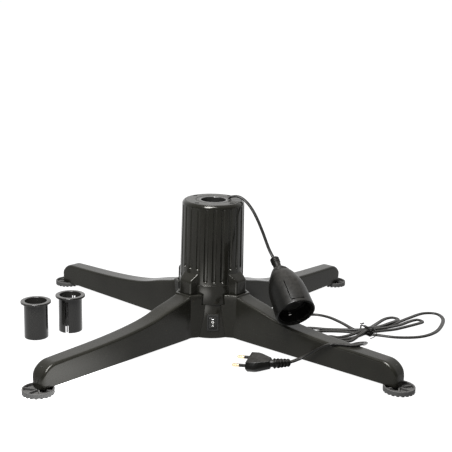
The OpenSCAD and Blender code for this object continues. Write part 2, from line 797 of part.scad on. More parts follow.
frame_t = 1.4;
rocker_axis_y = -pad_face + 1.6;
rocker_pin_r = 1;
module switch_frame() {
    color(soft_black) difference() {
        union() {
            translate([-switch_w / 2, -pad_face - frame_t, switch_z - switch_h / 2]) cube([switch_w, frame_t, switch_h]);
            translate([-switch_hole_w / 2 + 0.1, -pad_face - eps, switch_z - switch_hole_h / 2 + 0.1])
                cube([switch_hole_w - 0.2, 13, switch_hole_h - 0.2]);
        }
        translate([-rocker_w / 2 - 0.3, -pad_face - frame_t - 1, switch_z - rocker_h / 2 - 0.5])
            cube([rocker_w + 0.6, 9.4 + frame_t, rocker_h + 1]);
        translate([-rocker_w / 2 - 1.1, rocker_axis_y, switch_z]) rotate([0, 90, 0])
            cylinder(r = rocker_pin_r + run_gap, h = rocker_w + 2.2, $fn = 36);
    }
}

module switch_rocker() {
    face = -pad_face - frame_t;
    color(soft_black) union() {
        translate([-rocker_w / 2, 0, switch_z]) rotate([90, 0, 90]) linear_extrude(height = rocker_w)
            polygon([[face - 1.1, -rocker_h / 2 + 0.6], [face - 0.2, 0], [face - 1.1, rocker_h / 2 - 0.6],
                     [face + 2.4, rocker_h / 2], [rocker_axis_y + 2.4, 3], [rocker_axis_y + 2.4, -3],
                     [face + 2.4, -rocker_h / 2]]);
        translate([-rocker_w / 2 - 0.9, rocker_axis_y, switch_z]) rotate([0, 90, 0])
            cylinder(r = rocker_pin_r, h = rocker_w + 1.8, $fn = 36);
    }
}

module switch_terminals() {
    color(brass) for (z = [-5.5, 0, 5.5]) translate([-2.4, -pad_face + 13, switch_z + z - 0.4]) cube([4.8, 6, 0.8]);
}

// ------------------------------------------------------------------ leads

gland_r = 4.2;
gland_reach = base_r + 26;
// strain relief where the mains lead leaves the base
module mains_gland() {
    color(soft_black) rotate([0, 90, gland_turn]) translate([-gland_z, 0, 0]) {
        translate([0, 0, base_r - base_wall - 3]) cylinder(r = gland_r - 0.05, h = base_wall + 3.2, $fn = 36);
        translate([0, 0, base_r + 0.1]) cylinder(r = gland_r + 1.2, h = 2, $fn = 36);
        translate([0, 0, base_r + 2])
            cylinder(r1 = gland_r, r2 = lead_w / 2 + 0.5, h = gland_reach - base_r - 2, $fn = 36);
    }
}

lead_z = lead_t / 2 + 0.1;      // a strand on the floor
lead_z2 = lead_z + lead_t + 0.4; // one that lies on another
lead_z3 = lead_z2 + lead_t + 0.4;

// the mains lead from the base through its bundle and over the front right leg to the plug
mains_route = [
    [68.4, 0.4, 11.7], [77, 4, 8.6], [92, 14, 3.4], [117, 40, lead_z], [145, 56, lead_z], [166, 47, lead_z],
    [181, 23, lead_z], [193, -4.5, lead_z], [206, -15, lead_z], [222, -9, lead_z], [250, 14, lead_z],
    [280, 41, lead_z], [306, 61, lead_z], [325, 59, lead_z], [328, 38, lead_z], [317, 9, lead_z],
    [300, -17, lead_z], [276, -33, lead_z], [246, -35, lead_z], [222, -27, lead_z], [204, -20.5, lead_z],
    [180, -13, lead_z], [150, -11, lead_z], [133, -15, lead_z], [121, -7, lead_z], [132, 2, lead_z],
    [155, -3, lead_z], [182, -8, 2.6], [203, -13, lead_z2], [216, -2, 3.4], [231, 20, lead_z],
    [246, 38, lead_z], [258, 43, lead_z], [263, 34, lead_z], [247, 15, 3.6], [227, -3, 4.8],
    [208, -17, lead_z3], [187, -29, 4], [168, -34, lead_z], [156, -33, 2.4], [148, -41, 3.6],
    [156, -49, 3.6], [168, -46, 3], [186, -38, 2.6], [206, -26, lead_z2], [224, -18, 4], [252, -3, lead_z],
    [282, 15, lead_z], [295, 25, lead_z], [291, 34, lead_z], [280, 29, lead_z], [262, 14, lead_z], [236, -5, 4],
    [208, -23, lead_z3], [194, -37, 6.4], [179, -48, lead_z], [165, -48, lead_z], [153, -53, lead_z],
    [152, -62, lead_z], [162, -67, lead_z], [176, -62, 1.6], [188, -58, 2.4], [195.5, -62, 4.6],
    [193.5, -73, 8], [187, -94, 15.3], [179, -120, 24.5], [173, -140, 32], [169, -151, 36.8],
    [160, -156.5, 37.1], [148, -154.5, 37.4], [138, -152.5, 37.7], [131.5, -151.5, 36.8],
    [123, -145, 31], [112, -136, 19.8], [102.2, -133.3, 13], [92.6, -135.8, 9.9], [85.6, -139.7, 9.4]
];

module mains_lead() {
    color(soft_black) flat_lead(mains_route);
}

// wire tie round the bundle
tie_half = 12.6;
module lead_tie() {
    color(soft_black) translate([205.9, -18.6, 0]) rotate([0, 0, 20]) difference() {
        translate([-0.8, -tie_half, 0]) cube([1.6, 2 * tie_half, lead_z3 + lead_t / 2 + 1]);
        translate([-2, -tie_half + 0.8, -1]) cube([4, 2 * tie_half - 1.6, lead_z3 + lead_t / 2 + 1.2]);
    }
}

socket_route = [
    [exit_r, 0, 173], [exit_r, 0, 177.2], [20.5, 0, 179], [22, -0.1, 180.8], [25.5, -0.9, 181.9],
    [30.5, -2.8, 182.4], [36.1, -6, 180.7], [42.8, -10.8, 175.7], [49.6, -17, 167],
    [56, -24.2, 155.1], [62.4, -32, 140.1], [68.2, -40, 124.9], [72.2, -45.8, 116.8], [75.2, -50.2, 112.5]
];
module socket_lead() {
    color(soft_black) lead(socket_route, [0, 1, 0], [0.5, 0.86, 0], 5);
}

// ------------------------------------------------------------------ coupling, hanging on the front right leg

coupling_mouth = [94.3, -120.4, 64.5];
coupling_turn = -74.8;
coupling_dip = 33.4;
coupling_roll = 6;
cone_len = 16;
slot_turn = 34;      // the lead comes in on edge, turned about the coupling's axis
module at_coupling() {
    translate(coupling_mouth) rotate([0, 90 + coupling_dip, coupling_turn])
        rotate([0, 0, coupling_roll]) translate([0, 0, -coupling_len]) children();
}

module coupling_relief() {
    color(soft_black) at_coupling() difference() {
        union() {
            translate([0, 0, -cone_len]) cylinder(r1 = 5.2, r2 = 5.1, h = cone_len + 3, $fn = 36);
            for (k = [0:2]) translate([0, 0, -cone_len + 3 * k]) cylinder(r = 5.9, h = 2.3, $fn = 36);
        }
        rotate([0, 0, -slot_turn]) translate([-lead_t / 2 - 0.4, -lead_w / 2 - 0.4, -cone_len - 1])
            cube([lead_t + 0.8, lead_w + 0.8, 3]);
    }
}

module coupling_body() {
    color(soft_black) at_coupling() difference() {
        union() {
            rotate_extrude() polygon([[0, 0], [5.8, 0], [7.5, 1.2], [10.7, 5.5], [14.7, 12.5], [17.4, 17.7],
                [20, 25], [22.3, 33], [23.4, 42], [23.9, 52], [coupling_r, coupling_len - 1.2],
                [coupling_r - 1, coupling_len], [0, coupling_len]]);
            rotate([0, 0, 90]) translate([-8.3, coupling_r - 4, coupling_len - 34.5]) cube([16.6, 4.4, 29.8]);
        }
        translate([0, 0, coupling_len - recess_depth]) cylinder(r = recess_r, h = recess_depth + 1);
        translate([0, 0, coupling_len - 2.4]) cylinder(r = recess_r + 1.6, h = 4);
        translate([0, 0, coupling_len - recess_depth - 18]) cylinder(r = recess_r - 3, h = 19);
        translate([0, 0, -1]) cylinder(r = 5.2, h = 4.2, $fn = 36);
    }
}

socket_gap = 19;
module coupling_insert() {
    color([0.1, 0.1, 0.1]) at_coupling() difference() {
        translate([0, 0, coupling_len - recess_depth - 16]) cylinder(r = recess_r - 3.1, h = 16);
        for (side = [-1, 1]) translate([0, side * socket_gap / 2, coupling_len - recess_depth - 14])
            cylinder(r = 2.6, h = 20, $fn = 36);
    }
}

module coupling_contacts() {
    color(brass) at_coupling() {
        for (side = [-1, 1]) translate([0, side * socket_gap / 2, coupling_len - recess_depth - 14]) difference() {
            cylinder(r = 2.5, h = 9, $fn = 36);
            translate([0, 0, 1]) cylinder(r = 2.1, h = 9, $fn = 36);
        }
        for (side = [-1, 1]) translate([side * (recess_r - 0.5) - 0.4, -1.6, coupling_len - recess_depth])
            cube([0.8, 3.2, 5]);
    }
}

// ------------------------------------------------------------------ plug, on the floor in front

plug_face = [35.6, -135.5, 9.3];
plug_turn = 153.4;   // the pins point this way
plug_pitch = 5.8;    // and a little down
plug_roll = -12;
module at_plug() {
    translate(plug_face) rotate([0, plug_pitch, plug_turn]) rotate([plug_roll, 0, 0]) children();
}

// outline across the plug's body at x behind its face
function plug_row(x, half_w, half_t) = [for (p = [[-half_w, 0], [-half_w * 0.72, -half_t], [half_w * 0.72, -half_t],
    [half_w, 0], [half_w * 0.72, half_t], [-half_w * 0.72, half_t]]) [x, p[0], p[1]]];

module plug_body() {
    color(soft_black) at_plug() difference() {
        loft([plug_row(-plug_len, 7, plug_t * 0.4), plug_row(-plug_len * 0.72, plug_w * 0.34, plug_t * 0.46),
            plug_row(-plug_len * 0.4, plug_w / 2, plug_t / 2), plug_row(0, plug_w / 2, plug_t / 2)]);
        for (side = [-1, 1]) translate([-6, side * pin_gap / 2, 0]) rotate([0, 90, 0])
            cylinder(r = 2.05, h = 10, $fn = 36);
    }
}

module pin_sleeves() {
    color([0.1, 0.1, 0.1]) at_plug() for (side = [-1, 1]) translate([-5.9, side * pin_gap / 2, 0]) rotate([0, 90, 0])
        difference() {
            cylinder(r = 1.95, h = 5.9 + pin_len * 0.5, $fn = 36);
            translate([0, 0, -1]) cylinder(r = 1.45, h = 20, $fn = 36);
        }
}

module plug_pins() {
    color(brass) at_plug() for (side = [-1, 1]) translate([-5.9, side * pin_gap / 2, 0]) rotate([0, 90, 0]) {
        cylinder(r = 1.4, h = 5.9 + pin_len * 0.5 + 0.5, $fn = 36);
        translate([0, 0, 5.9 + pin_len * 0.5 + 0.1]) cylinder(r = 2, h = pin_len * 0.5 - 0.1, $fn = 36);
    }
}

// ribbed strain relief behind the plug, bent towards the lead
relief_steps = 20;
relief_len = 23.2;
relief_bend = 55;
relief_fall = -0.15;
function bent(i) = min(i / 6, 1);
function relief_turn(i) = plug_turn + 180 + relief_bend * bent(i);
function relief_way(i) = [cos(relief_turn(i)), sin(relief_turn(i)), mix(sin(plug_pitch), relief_fall, bent(i))];
function relief_at(i) = i < 0.5
    ? plug_face + (plug_len + seat_gap + 0.7)
        * [-cos(plug_turn) * cos(plug_pitch), -sin(plug_turn) * cos(plug_pitch), sin(plug_pitch)]
    : relief_at(i - 1) + relief_len / relief_steps * relief_way(i);
function relief_r(i) = mix(6.2, 4.4, i / relief_steps) - (i % 4 < 2 ? 0 : 1.3);
module plug_relief() {
    color(soft_black) loft([for (i = [0:relief_steps]) each [for (side = [0, 0.9])
        let (h = relief_turn(i), c = relief_at(i) + side * relief_len / relief_steps * relief_way(i))
        [for (k = [0:11]) c + relief_r(i) * [-sin(h) * cos(30 * k), cos(h) * cos(30 * k), sin(30 * k)]]]]);
}

// ------------------------------------------------------------------ loose adapters

module adapter_tube() {
    ring(adapter_r, adapter_hole_r, 0, adapter_h);
    ring(adapter_flange_r, adapter_hole_r, adapter_h - 2.6, adapter_h);
    for (k = [0:5]) rotate([0, 0, 60 * k + 30])
        translate([adapter_hole_r - 0.9, -0.6, 1]) cube([1.4, 1.2, adapter_h - 5]);
}

module adapter_plain() {
    color(black) translate([-225.9, -24.1, 0]) adapter_tube();
}

module adapter_split() {
    color(black) translate([-184.3, 1.4, 0]) rotate([0, 0, -14]) difference() {
        adapter_tube();
        translate([-slit_w / 2, -30, -1]) cube([slit_w, 60, adapter_h - 5]);
    }
}

// ------------------------------------------------------------------ nodes

base_hub();
base_plate();
base_screws();
drum_housing();
top_cover();
cover_screws();
leg_front_right();
leg_rear_right();
leg_rear_left();
leg_front_left();
foot_front_right();
foot_rear_right();
foot_rear_left();
foot_front_left();
foot_screws();
motor_deck();
motor_can();
motor_screws();
motor_shaft();
drive_pinion();
lower_bush();
thrust_washer();
upper_bush();
tree_sleeve();
sleeve_collar();
sleeve_gear();
slip_ring_carrier();
slip_rings();
brush_holder();
contact_brushes();
brush_springs();
switch_frame();
switch_rocker();
switch_terminals();
socket_lead();
lead_grommet();
coupling_relief();
coupling_body();
coupling_insert();
coupling_contacts();
mains_gland();
mains_lead();
lead_tie();
plug_relief();
plug_body();
pin_sleeves();
plug_pins();
adapter_plain();
adapter_split();
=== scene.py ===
import bpy
import bmesh
import math
from mathutils import Matrix, Vector


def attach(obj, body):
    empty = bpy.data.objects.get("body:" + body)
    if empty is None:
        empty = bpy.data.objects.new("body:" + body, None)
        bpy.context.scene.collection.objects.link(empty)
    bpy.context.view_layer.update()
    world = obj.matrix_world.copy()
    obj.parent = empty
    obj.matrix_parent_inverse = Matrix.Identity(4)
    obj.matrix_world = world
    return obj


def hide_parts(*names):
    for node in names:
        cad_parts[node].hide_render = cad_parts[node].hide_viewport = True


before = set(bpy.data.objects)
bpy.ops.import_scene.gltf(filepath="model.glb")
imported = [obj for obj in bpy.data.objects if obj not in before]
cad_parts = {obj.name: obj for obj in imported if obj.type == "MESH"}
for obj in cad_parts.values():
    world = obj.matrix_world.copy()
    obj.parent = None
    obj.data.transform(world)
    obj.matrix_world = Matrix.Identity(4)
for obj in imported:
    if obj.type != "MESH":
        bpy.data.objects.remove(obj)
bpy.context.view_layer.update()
scene = bpy.context.scene
scene.view_settings.view_transform = "Standard"
print("frame loaded:", len(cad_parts), "nodes")

mm = 0.001
crease = 34  # degrees; a sharper edge stays sharp
sideShare = 0.49  # of a side, at most, goes into a rounded corner
mergeGap, sliver = 2e-6, 1e-6
diagonals = (45, 135, 225, 315)
lying = Matrix.Rotation(math.pi / 2, 4, "Y")  # lays what stands along z along x
white = (1.0, 1.0, 1.0)

# camera, worked out from the four feet and the rims of the drum
cameraView = {"place": (-0.0836, -1.2039, 0.4408), "lens": 76.36, "down": 13.88, "heading": 4.784, "roll": -1.581,
              "near": 0.05, "far": 800}


def makeCamera(view):
    down, heading, roll = (math.radians(view[k]) for k in ("down", "heading", "roll"))
    level = Vector((math.sin(heading), math.cos(heading), 0))
    right = Vector((math.cos(heading), -math.sin(heading), 0))
    ahead = level * math.cos(down) - Vector((0, 0, math.sin(down)))
    up = level * math.sin(down) + Vector((0, 0, math.cos(down)))
    side = right * math.cos(roll) - up * math.sin(roll)
    top = right * math.sin(roll) + up * math.cos(roll)
    data = bpy.data.cameras.new("camera")
    data.lens = view["lens"]
    data.clip_start, data.clip_end = view["near"], view["far"]
    camera = bpy.data.objects.new("camera", data)
    turn = Matrix((side, top, -ahead)).transposed().to_4x4()
    camera.matrix_world = Matrix.Translation(view["place"]) @ turn
    scene.collection.objects.link(camera)
    scene.camera = camera


makeCamera(cameraView)
print("camera set")


# shapes: each is (points in mm, faces)

def mix(a, b, f):
    return a + (b - a) * f


# rounds the corners (x, y, radius) of an outline
def softened(corners, steps=4, closed=True):
    out, n = [], len(corners)
    for i, corner in enumerate(corners):
        here = Vector(corner[:2])
        radius = corner[2] if len(corner) > 2 else 0
        if radius <= 0 or (not closed and i in (0, n - 1)):
            out.append(tuple(here))
            continue
        back = Vector(corners[i - 1][:2]) - here
        on = Vector(corners[(i + 1) % n][:2]) - here
        half = back.angle(on) / 2
        cut = min(radius / math.tan(half), back.length * sideShare, on.length * sideShare)
        a, b = here + back.normalized() * cut, here + on.normalized() * cut
        for k in range(steps + 1):
            t = k / steps
            out.append(tuple(a * (1 - t) ** 2 + here * (2 * t * (1 - t)) + b * t * t))
    return out


# faces between rows of points; wrap closes each row, loop joins the last row to the first
def loft(rows, wrap=True, caps=(True, True), loop=False):
    m, n = len(rows[0]), len(rows)
    faces = []
    for i in range(n if loop else n - 1):
        for j in range(m if wrap else m - 1):
            a, b, k = i * m, (i + 1) % n * m, (j + 1) % m
            faces.append((a + j, a + k, b + k, b + j))
    if not loop and caps[0]:
        faces.append(tuple(range(m)))
    if not loop and caps[1]:
        faces.append(tuple((n - 1) * m + j for j in reversed(range(m))))
    return [tuple(p) for row in rows for p in row], faces


# closed outline (radius, height) turned round the z axis
def lathe(profile, angles=96):
    if isinstance(angles, int):
        angles = [2 * math.pi * k / angles for k in range(angles)]
    return loft([[(r * math.cos(a), r * math.sin(a), z) for a in angles] for r, z in profile], loop=True)


def box(low, high, radius=0.0, steps=2):
    bm = bmesh.new()
    bmesh.ops.create_cube(bm, size=1)
    for v in bm.verts:
        v.co = Vector([mix(low[k], high[k], v.co[k] + 0.5) for k in range(3)])
    if radius:
        bmesh.ops.bevel(bm, geom=bm.edges[:], offset=radius, segments=steps, profile=0.5, affect="EDGES")
    bm.verts.index_update()
    shape = [tuple(v.co) for v in bm.verts], [tuple(v.index for v in f.verts) for f in bm.faces]
    bm.free()
    return shape


def rod(low, high, radius, bevel=0.2, around=28):
    return lathe(softened([(0, low), (radius, low, bevel), (radius, high, bevel), (0, high)], 3), around)


# corners of a rectangle about the middle, rounded
def rectangle(a, b, corner, steps=4):
    return softened([(-a, -b, corner), (a, -b, corner), (a, b, corner), (-a, b, corner)], steps)


def placed(shape, matrix):
    return [tuple(matrix @ Vector(p)) for p in shape[0]], shape[1]


def turned(degrees, axis="Z"):
    return Matrix.Rotation(math.radians(degrees), 4, axis)


def shifted(x=0, y=0, z=0):
    return Matrix.Translation((x, y, z))


# curve through the points, with steps stretches between each two
def smoothPath(points, steps):
    points = [Vector(p) for p in points]
    out = []
    for i in range(len(points) - 1):
        a, b, c, d = points[max(i - 1, 0)], points[i], points[i + 1], points[min(i + 2, len(points) - 1)]
        for k in range(steps):
            t = k / steps
            out.append(0.5 * (2 * b + (c - a) * t + (2 * a - 5 * b + 4 * c - d) * t * t
                              + (3 * b - a - 3 * c + d) * t ** 3))
    return out + [points[-1]]


def headings(path):
    last = len(path) - 1
    return [(path[min(i + 1, last)] - path[max(i - 1, 0)]).normalized() for i in range(last + 1)]


# outline (across, up) carried along a path; wideAt gives the way of its first axis
def sweep(path, outline, wideAt, sizeAt=None):
    rows = []
    for i, (p, ahead) in enumerate(zip(path, headings(path))):
        wide = wideAt(i, ahead)
        wide = (wide - ahead * wide.dot(ahead)).normalized()
        up = ahead.cross(wide)
        size = sizeAt(i) if sizeAt else 1
        rows.append([p + wide * (x * size) + up * (y * size) for x, y in outline])
    return loft(rows)


# round wire along a path, its frame carried on from point to point
def tube(path, radius, around=12, sizeAt=None):
    path = [Vector(p) for p in path]
    ways = headings(path)
    wide = ways[0].orthogonal().normalized()
    frames = []
    for ahead in ways:
        wide = (wide - ahead * wide.dot(ahead)).normalized()
        frames.append(wide.copy())
    ring = [(radius * math.cos(2 * math.pi * k / around), radius * math.sin(2 * math.pi * k / around))
            for k in range(around)]
    return sweep(path, ring, lambda i, ahead: frames[i], sizeAt)


# one mesh in metres; each shape is merged and turned outwards by itself
def meshOf(name, shapes, sharp=crease):
    whole = bmesh.new()
    for points, faces in shapes:
        bm = bmesh.new()
        verts = [bm.verts.new(Vector(p) * mm) for p in points]
        for face in faces:
            bm.faces.new([verts[i] for i in face])
        bmesh.ops.remove_doubles(bm, verts=bm.verts, dist=mergeGap)
        bmesh.ops.dissolve_degenerate(bm, edges=bm.edges, dist=sliver)
        bmesh.ops.recalc_face_normals(bm, faces=bm.faces)
        part = bpy.data.meshes.new("part")
        bm.to_mesh(part)
        bm.free()
        whole.from_mesh(part)
        bpy.data.meshes.remove(part)
    mesh = bpy.data.meshes.new(name)
    whole.to_mesh(mesh)
    whole.free()
    smoothed(mesh, sharp)
    return mesh


def smoothed(mesh, sharp=crease):
    mesh.shade_smooth()
    mesh.set_sharp_from_angle(angle=math.radians(sharp))


def objectOf(name, mesh):
    obj = bpy.data.objects.new(name, mesh)
    scene.collection.objects.link(obj)
    return obj


def shaped(name, shapes, sharp=crease):
    return objectOf(name, meshOf(name, shapes, sharp))


# the object with its modifiers turned into a plain mesh
def baked(obj, sharp=crease):
    bpy.context.view_layer.update()
    ready = obj.evaluated_get(bpy.context.evaluated_depsgraph_get())
    mesh = bpy.data.meshes.new_from_object(ready)
    obj.modifiers.clear()
    old, obj.data = obj.data, mesh
    name = old.name
    bpy.data.meshes.remove(old)
    mesh.name = name
    smoothed(mesh, sharp)
    return obj


# takes the shapes out of the object
def carved(obj, shapes, sharp=crease):
    tool = shaped("tool", shapes)
    cut = obj.modifiers.new("cut", "BOOLEAN")
    cut.operation, cut.solver, cut.object = "DIFFERENCE", "EXACT", tool
    baked(obj, sharp)
    bpy.data.objects.remove(tool)
    return obj


def finished(obj, material, body="stand", stands=()):
    obj.data.materials.clear()
    obj.data.materials.append(material)
    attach(obj, body)
    if stands:
        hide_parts(*([stands] if isinstance(stands, str) else stands))
    return obj


def makePiece(name, shapes, material, body="stand", stands=(), sharp=crease):
    return finished(shaped(name, shapes, sharp), material, body, stands)


# one object from several, kept as they lie
def joined(name, objects, sharp=crease):
    bm = bmesh.new()
    for obj in objects:
        bm.from_mesh(obj.data)
        bpy.data.objects.remove(obj)
    mesh = bpy.data.meshes.new(name)
    bm.to_mesh(mesh)
    bm.free()
    smoothed(mesh, sharp)
    return objectOf(name, mesh)


# nodes

def newTree(name, kind, inputs, outputs):
    tree = bpy.data.node_groups.new(name, kind)
    for way, sockets in (("INPUT", inputs), ("OUTPUT", outputs)):
        for label, sort, *value in sockets:
            socket = tree.interface.new_socket(name=label, in_out=way, socket_type="NodeSocket" + sort)
            if value:
                socket.default_value = value[0]
    return tree, tree.nodes.new("NodeGroupInput").outputs, tree.nodes.new("NodeGroupOutput").inputs


# a node with its settings; an input, by name or as n and its number, is a value or another node's output
def addNode(tree, kind, settings=None, **inputs):
    node = tree.nodes.new(kind)
    for key, value in (settings or {}).items():
        setattr(node, key, value)
    for key, value in inputs.items():
        byNumber = key[0] == "n" and key[1:].isdigit()
        socket = node.inputs[int(key[1:]) if byNumber else key.replace("_", " ")]
        if isinstance(value, bpy.types.NodeSocket):
            tree.links.new(value, socket)
        else:
            socket.default_value = value
    return node


def sumOf(tree, kind, *values, clamp=False):
    node = tree.nodes.new("ShaderNodeMath")
    node.operation, node.use_clamp = kind, clamp
    for i, value in enumerate(values):
        if isinstance(value, bpy.types.NodeSocket):
            tree.links.new(value, node.inputs[i])
        else:
            node.inputs[i].default_value = value
    return node.outputs[0]


# runs a geometry tree on the object with the named values, and bakes it
def grown(obj, tree, values, sharp=crease):
    modifier = obj.modifiers.new("grow", "NODES")
    modifier.node_group = tree
    for item in tree.interface.items_tree:
        if item.item_type == "SOCKET" and item.in_out == "INPUT" and item.name in values:
            modifier[item.identifier] = values[item.name]
    return baked(obj, sharp)


# a geometry tree with the named numbers and a material as inputs
def geometryTree(name, count, numbers):
    return newTree(name, "GeometryNodeTree", [("Geometry", "Geometry"), (count[0], "Int", count[1]),
                                              *[(label, "Float") for label in numbers], ("Material", "Material")],
                   [("Geometry", "Geometry")])


def endTree(tree, geometry, material, result):
    real = addNode(tree, "GeometryNodeRealizeInstances", Geometry=geometry).outputs[0]
    done = addNode(tree, "GeometryNodeSetMaterial", Geometry=real, Material=material).outputs[0]
    tree.links.new(done, result["Geometry"])
    return tree


# sinks round-ended grooves into the side of a turned shell
def buildFluteTree():
    tree, given, result = geometryTree("fluteRing", ("Flutes", 24), (
        "Floor Radius", "Half Width", "Wall Rise", "Edge Softness", "Top", "Bottom", "Bottom Over Legs",
        "Leg Angle", "Shell Radius"))

    def calc(kind, *values):
        return sumOf(tree, kind, *values)

    place = addNode(tree, "GeometryNodeInputPosition").outputs[0]
    split = addNode(tree, "ShaderNodeSeparateXYZ", Vector=place).outputs
    flat = addNode(tree, "ShaderNodeCombineXYZ", X=split[0], Y=split[1]).outputs[0]
    radius = addNode(tree, "ShaderNodeVectorMath", {"operation": "LENGTH"}, n0=flat).outputs["Value"]
    outward = addNode(tree, "ShaderNodeVectorMath", {"operation": "NORMALIZE"}, n0=flat).outputs[0]
    # across the groove, from its middle
    angle = calc("ARCTAN2", split[1], split[0])
    halfPitch = calc("MULTIPLY", calc("DIVIDE", 2 * math.pi, given["Flutes"]), 0.5)
    off = calc("WRAP", angle, halfPitch, calc("MULTIPLY", halfPitch, -1))
    across = calc("MULTIPLY", off, radius)
    # the grooves over the four legs end higher
    quarter = math.pi / 4
    middle = calc("SUBTRACT", angle, off)
    fromLeg = calc("ABSOLUTE", calc("WRAP", calc("SUBTRACT", middle, quarter), quarter, -quarter))
    overLeg = calc("LESS_THAN", fromLeg, given["Leg Angle"])
    drop = calc("SUBTRACT", given["Bottom Over Legs"], given["Bottom"])
    bottom = calc("MULTIPLY_ADD", overLeg, drop, given["Bottom"])
    # along the groove, past the middle of its round end
    low = calc("ADD", bottom, given["Half Width"])
    high = calc("SUBTRACT", given["Top"], given["Half Width"])
    nearest = calc("MINIMUM", calc("MAXIMUM", split[2], low), high)
    along = calc("SUBTRACT", split[2], nearest)
    # flat floor, with walls that rise with the fourth power of the way from the middle
    square = calc("ADD", calc("MULTIPLY", across, across), calc("MULTIPLY", along, along))
    share = calc("DIVIDE", square, calc("MULTIPLY", given["Half Width"], given["Half Width"]))
    rise = calc("MULTIPLY", calc("MULTIPLY", share, share), given["Wall Rise"])
    cutRadius = calc("ADD", given["Floor Radius"], rise)
    depth = calc("SMOOTH_MAX", calc("SUBTRACT", radius, cutRadius), 0, given["Edge Softness"])
    onShell = calc("GREATER_THAN", radius, given["Shell Radius"])
    inward = calc("MULTIPLY", calc("MULTIPLY", depth, onShell), -1)
    shift = addNode(tree, "ShaderNodeVectorMath", {"operation": "SCALE"}, n0=outward, Scale=inward).outputs[0]
    sunk = addNode(tree, "GeometryNodeSetPosition", Geometry=given["Geometry"], Offset=shift).outputs[0]
    return endTree(tree, sunk, given["Material"], result)


# repeats a piece round the z axis
def buildAroundTree():
    tree, given, result = geometryTree("aroundAxis", ("Count", 4), ("Ring Radius", "Height", "First Angle"))
    index = addNode(tree, "GeometryNodeInputIndex").outputs[0]
    step = sumOf(tree, "DIVIDE", 2 * math.pi, given["Count"])
    angle = sumOf(tree, "MULTIPLY_ADD", index, step, given["First Angle"])
    x = sumOf(tree, "MULTIPLY", sumOf(tree, "COSINE", angle), given["Ring Radius"])
    y = sumOf(tree, "MULTIPLY", sumOf(tree, "SINE", angle), given["Ring Radius"])
    place = addNode(tree, "ShaderNodeCombineXYZ", X=x, Y=y, Z=given["Height"]).outputs[0]
    spots = addNode(tree, "GeometryNodePoints", Count=given["Count"], Position=place).outputs[0]
    euler = addNode(tree, "ShaderNodeCombineXYZ", Z=angle).outputs[0]
    turn = addNode(tree, "FunctionNodeEulerToRotation", Euler=euler).outputs[0]
    copies = addNode(tree, "GeometryNodeInstanceOnPoints", Points=spots, Instance=given["Geometry"], Rotation=turn)
    return endTree(tree, copies.outputs[0], given["Material"], result)


# rings along a path, their size running from one end to the other
def buildRibTree():
    tree, given, result = geometryTree("ribsAlong", ("Ribs", 5), ("Start Radius", "End Radius", "Rib Width"))
    line = addNode(tree, "GeometryNodeMeshToCurve", Mesh=given["Geometry"]).outputs[0]
    spots = addNode(tree, "GeometryNodeCurveToPoints", {"mode": "COUNT"}, Curve=line, Count=given["Ribs"]).outputs
    ring = addNode(tree, "GeometryNodeCurvePrimitiveCircle", Resolution=36, Radius=mm).outputs[0]
    section = addNode(tree, "GeometryNodeCurvePrimitiveCircle", Resolution=10, Radius=given["Rib Width"]).outputs[0]
    rib = addNode(tree, "GeometryNodeCurveToMesh", Curve=ring, Profile_Curve=section).outputs[0]
    index = addNode(tree, "GeometryNodeInputIndex").outputs[0]
    share = sumOf(tree, "DIVIDE", index, sumOf(tree, "MAXIMUM", sumOf(tree, "SUBTRACT", given["Ribs"], 1), 1))
    change = sumOf(tree, "SUBTRACT", given["End Radius"], given["Start Radius"])
    radius = sumOf(tree, "MULTIPLY_ADD", share, change, given["Start Radius"])
    ratio = sumOf(tree, "DIVIDE", radius, mm)
    size = addNode(tree, "ShaderNodeCombineXYZ", X=ratio, Y=ratio, Z=ratio).outputs[0]
    copies = addNode(tree, "GeometryNodeInstanceOnPoints", Points=spots["Points"], Instance=rib,
                     Rotation=spots["Rotation"], Scale=size).outputs[0]
    return endTree(tree, copies, given["Material"], result)


fluteTree, aroundTree, ribTree = buildFluteTree(), buildAroundTree(), buildRibTree()


def around(name, shapes, count, radius, height, firstAngle):
    return grown(shaped(name, shapes), aroundTree, {"Count": count, "Ring Radius": radius * mm, "Height": height * mm,
                                                    "First Angle": math.radians(firstAngle)})


# the section's radius is given for the first ring, and grows and shrinks with the rings
def ribs(name, path, look):
    start, end = look["startRadius"], look["endRadius"]
    mesh = bpy.data.meshes.new(name)
    mesh.from_pydata([Vector(p) * mm for p in path], [(i, i + 1) for i in range(len(path) - 1)], [])
    return grown(objectOf(name, mesh), ribTree, {"Ribs": look["ribs"], "Start Radius": start * mm,
                                                "End Radius": end * mm, "Rib Width": look["ribWidth"] * mm / start})


# finishes

grainLook = {"detail": 3.0, "roughness": 0.6, "cells": 0.6, "patchDetail": 4.0, "patchSpan": (0.3, 0.7)}
scuffLook = {"turn": (0.3, 0.5, 0.7), "stretch": (1.0, 14.0, 14.0), "detail": 2.0, "thin": (0.66, 0.74),
             "placeScale": 18.0, "placeDetail": 1.0, "places": (0.5, 0.62)}
dustLook = {"facing": (0.55, 1.0), "scale": 260.0, "detail": 5.0, "roughness": 0.7}


def noise(tree, vector, scale, detail, **more):
    return addNode(tree, "ShaderNodeTexNoise", Vector=vector, Scale=scale, Detail=detail, **more).outputs[0]


# place of the value in the span, as 0 to 1
def shareOf(tree, value, span):
    return addNode(tree, "ShaderNodeMapRange", n0=value, n1=span[0], n2=span[1]).outputs[0]


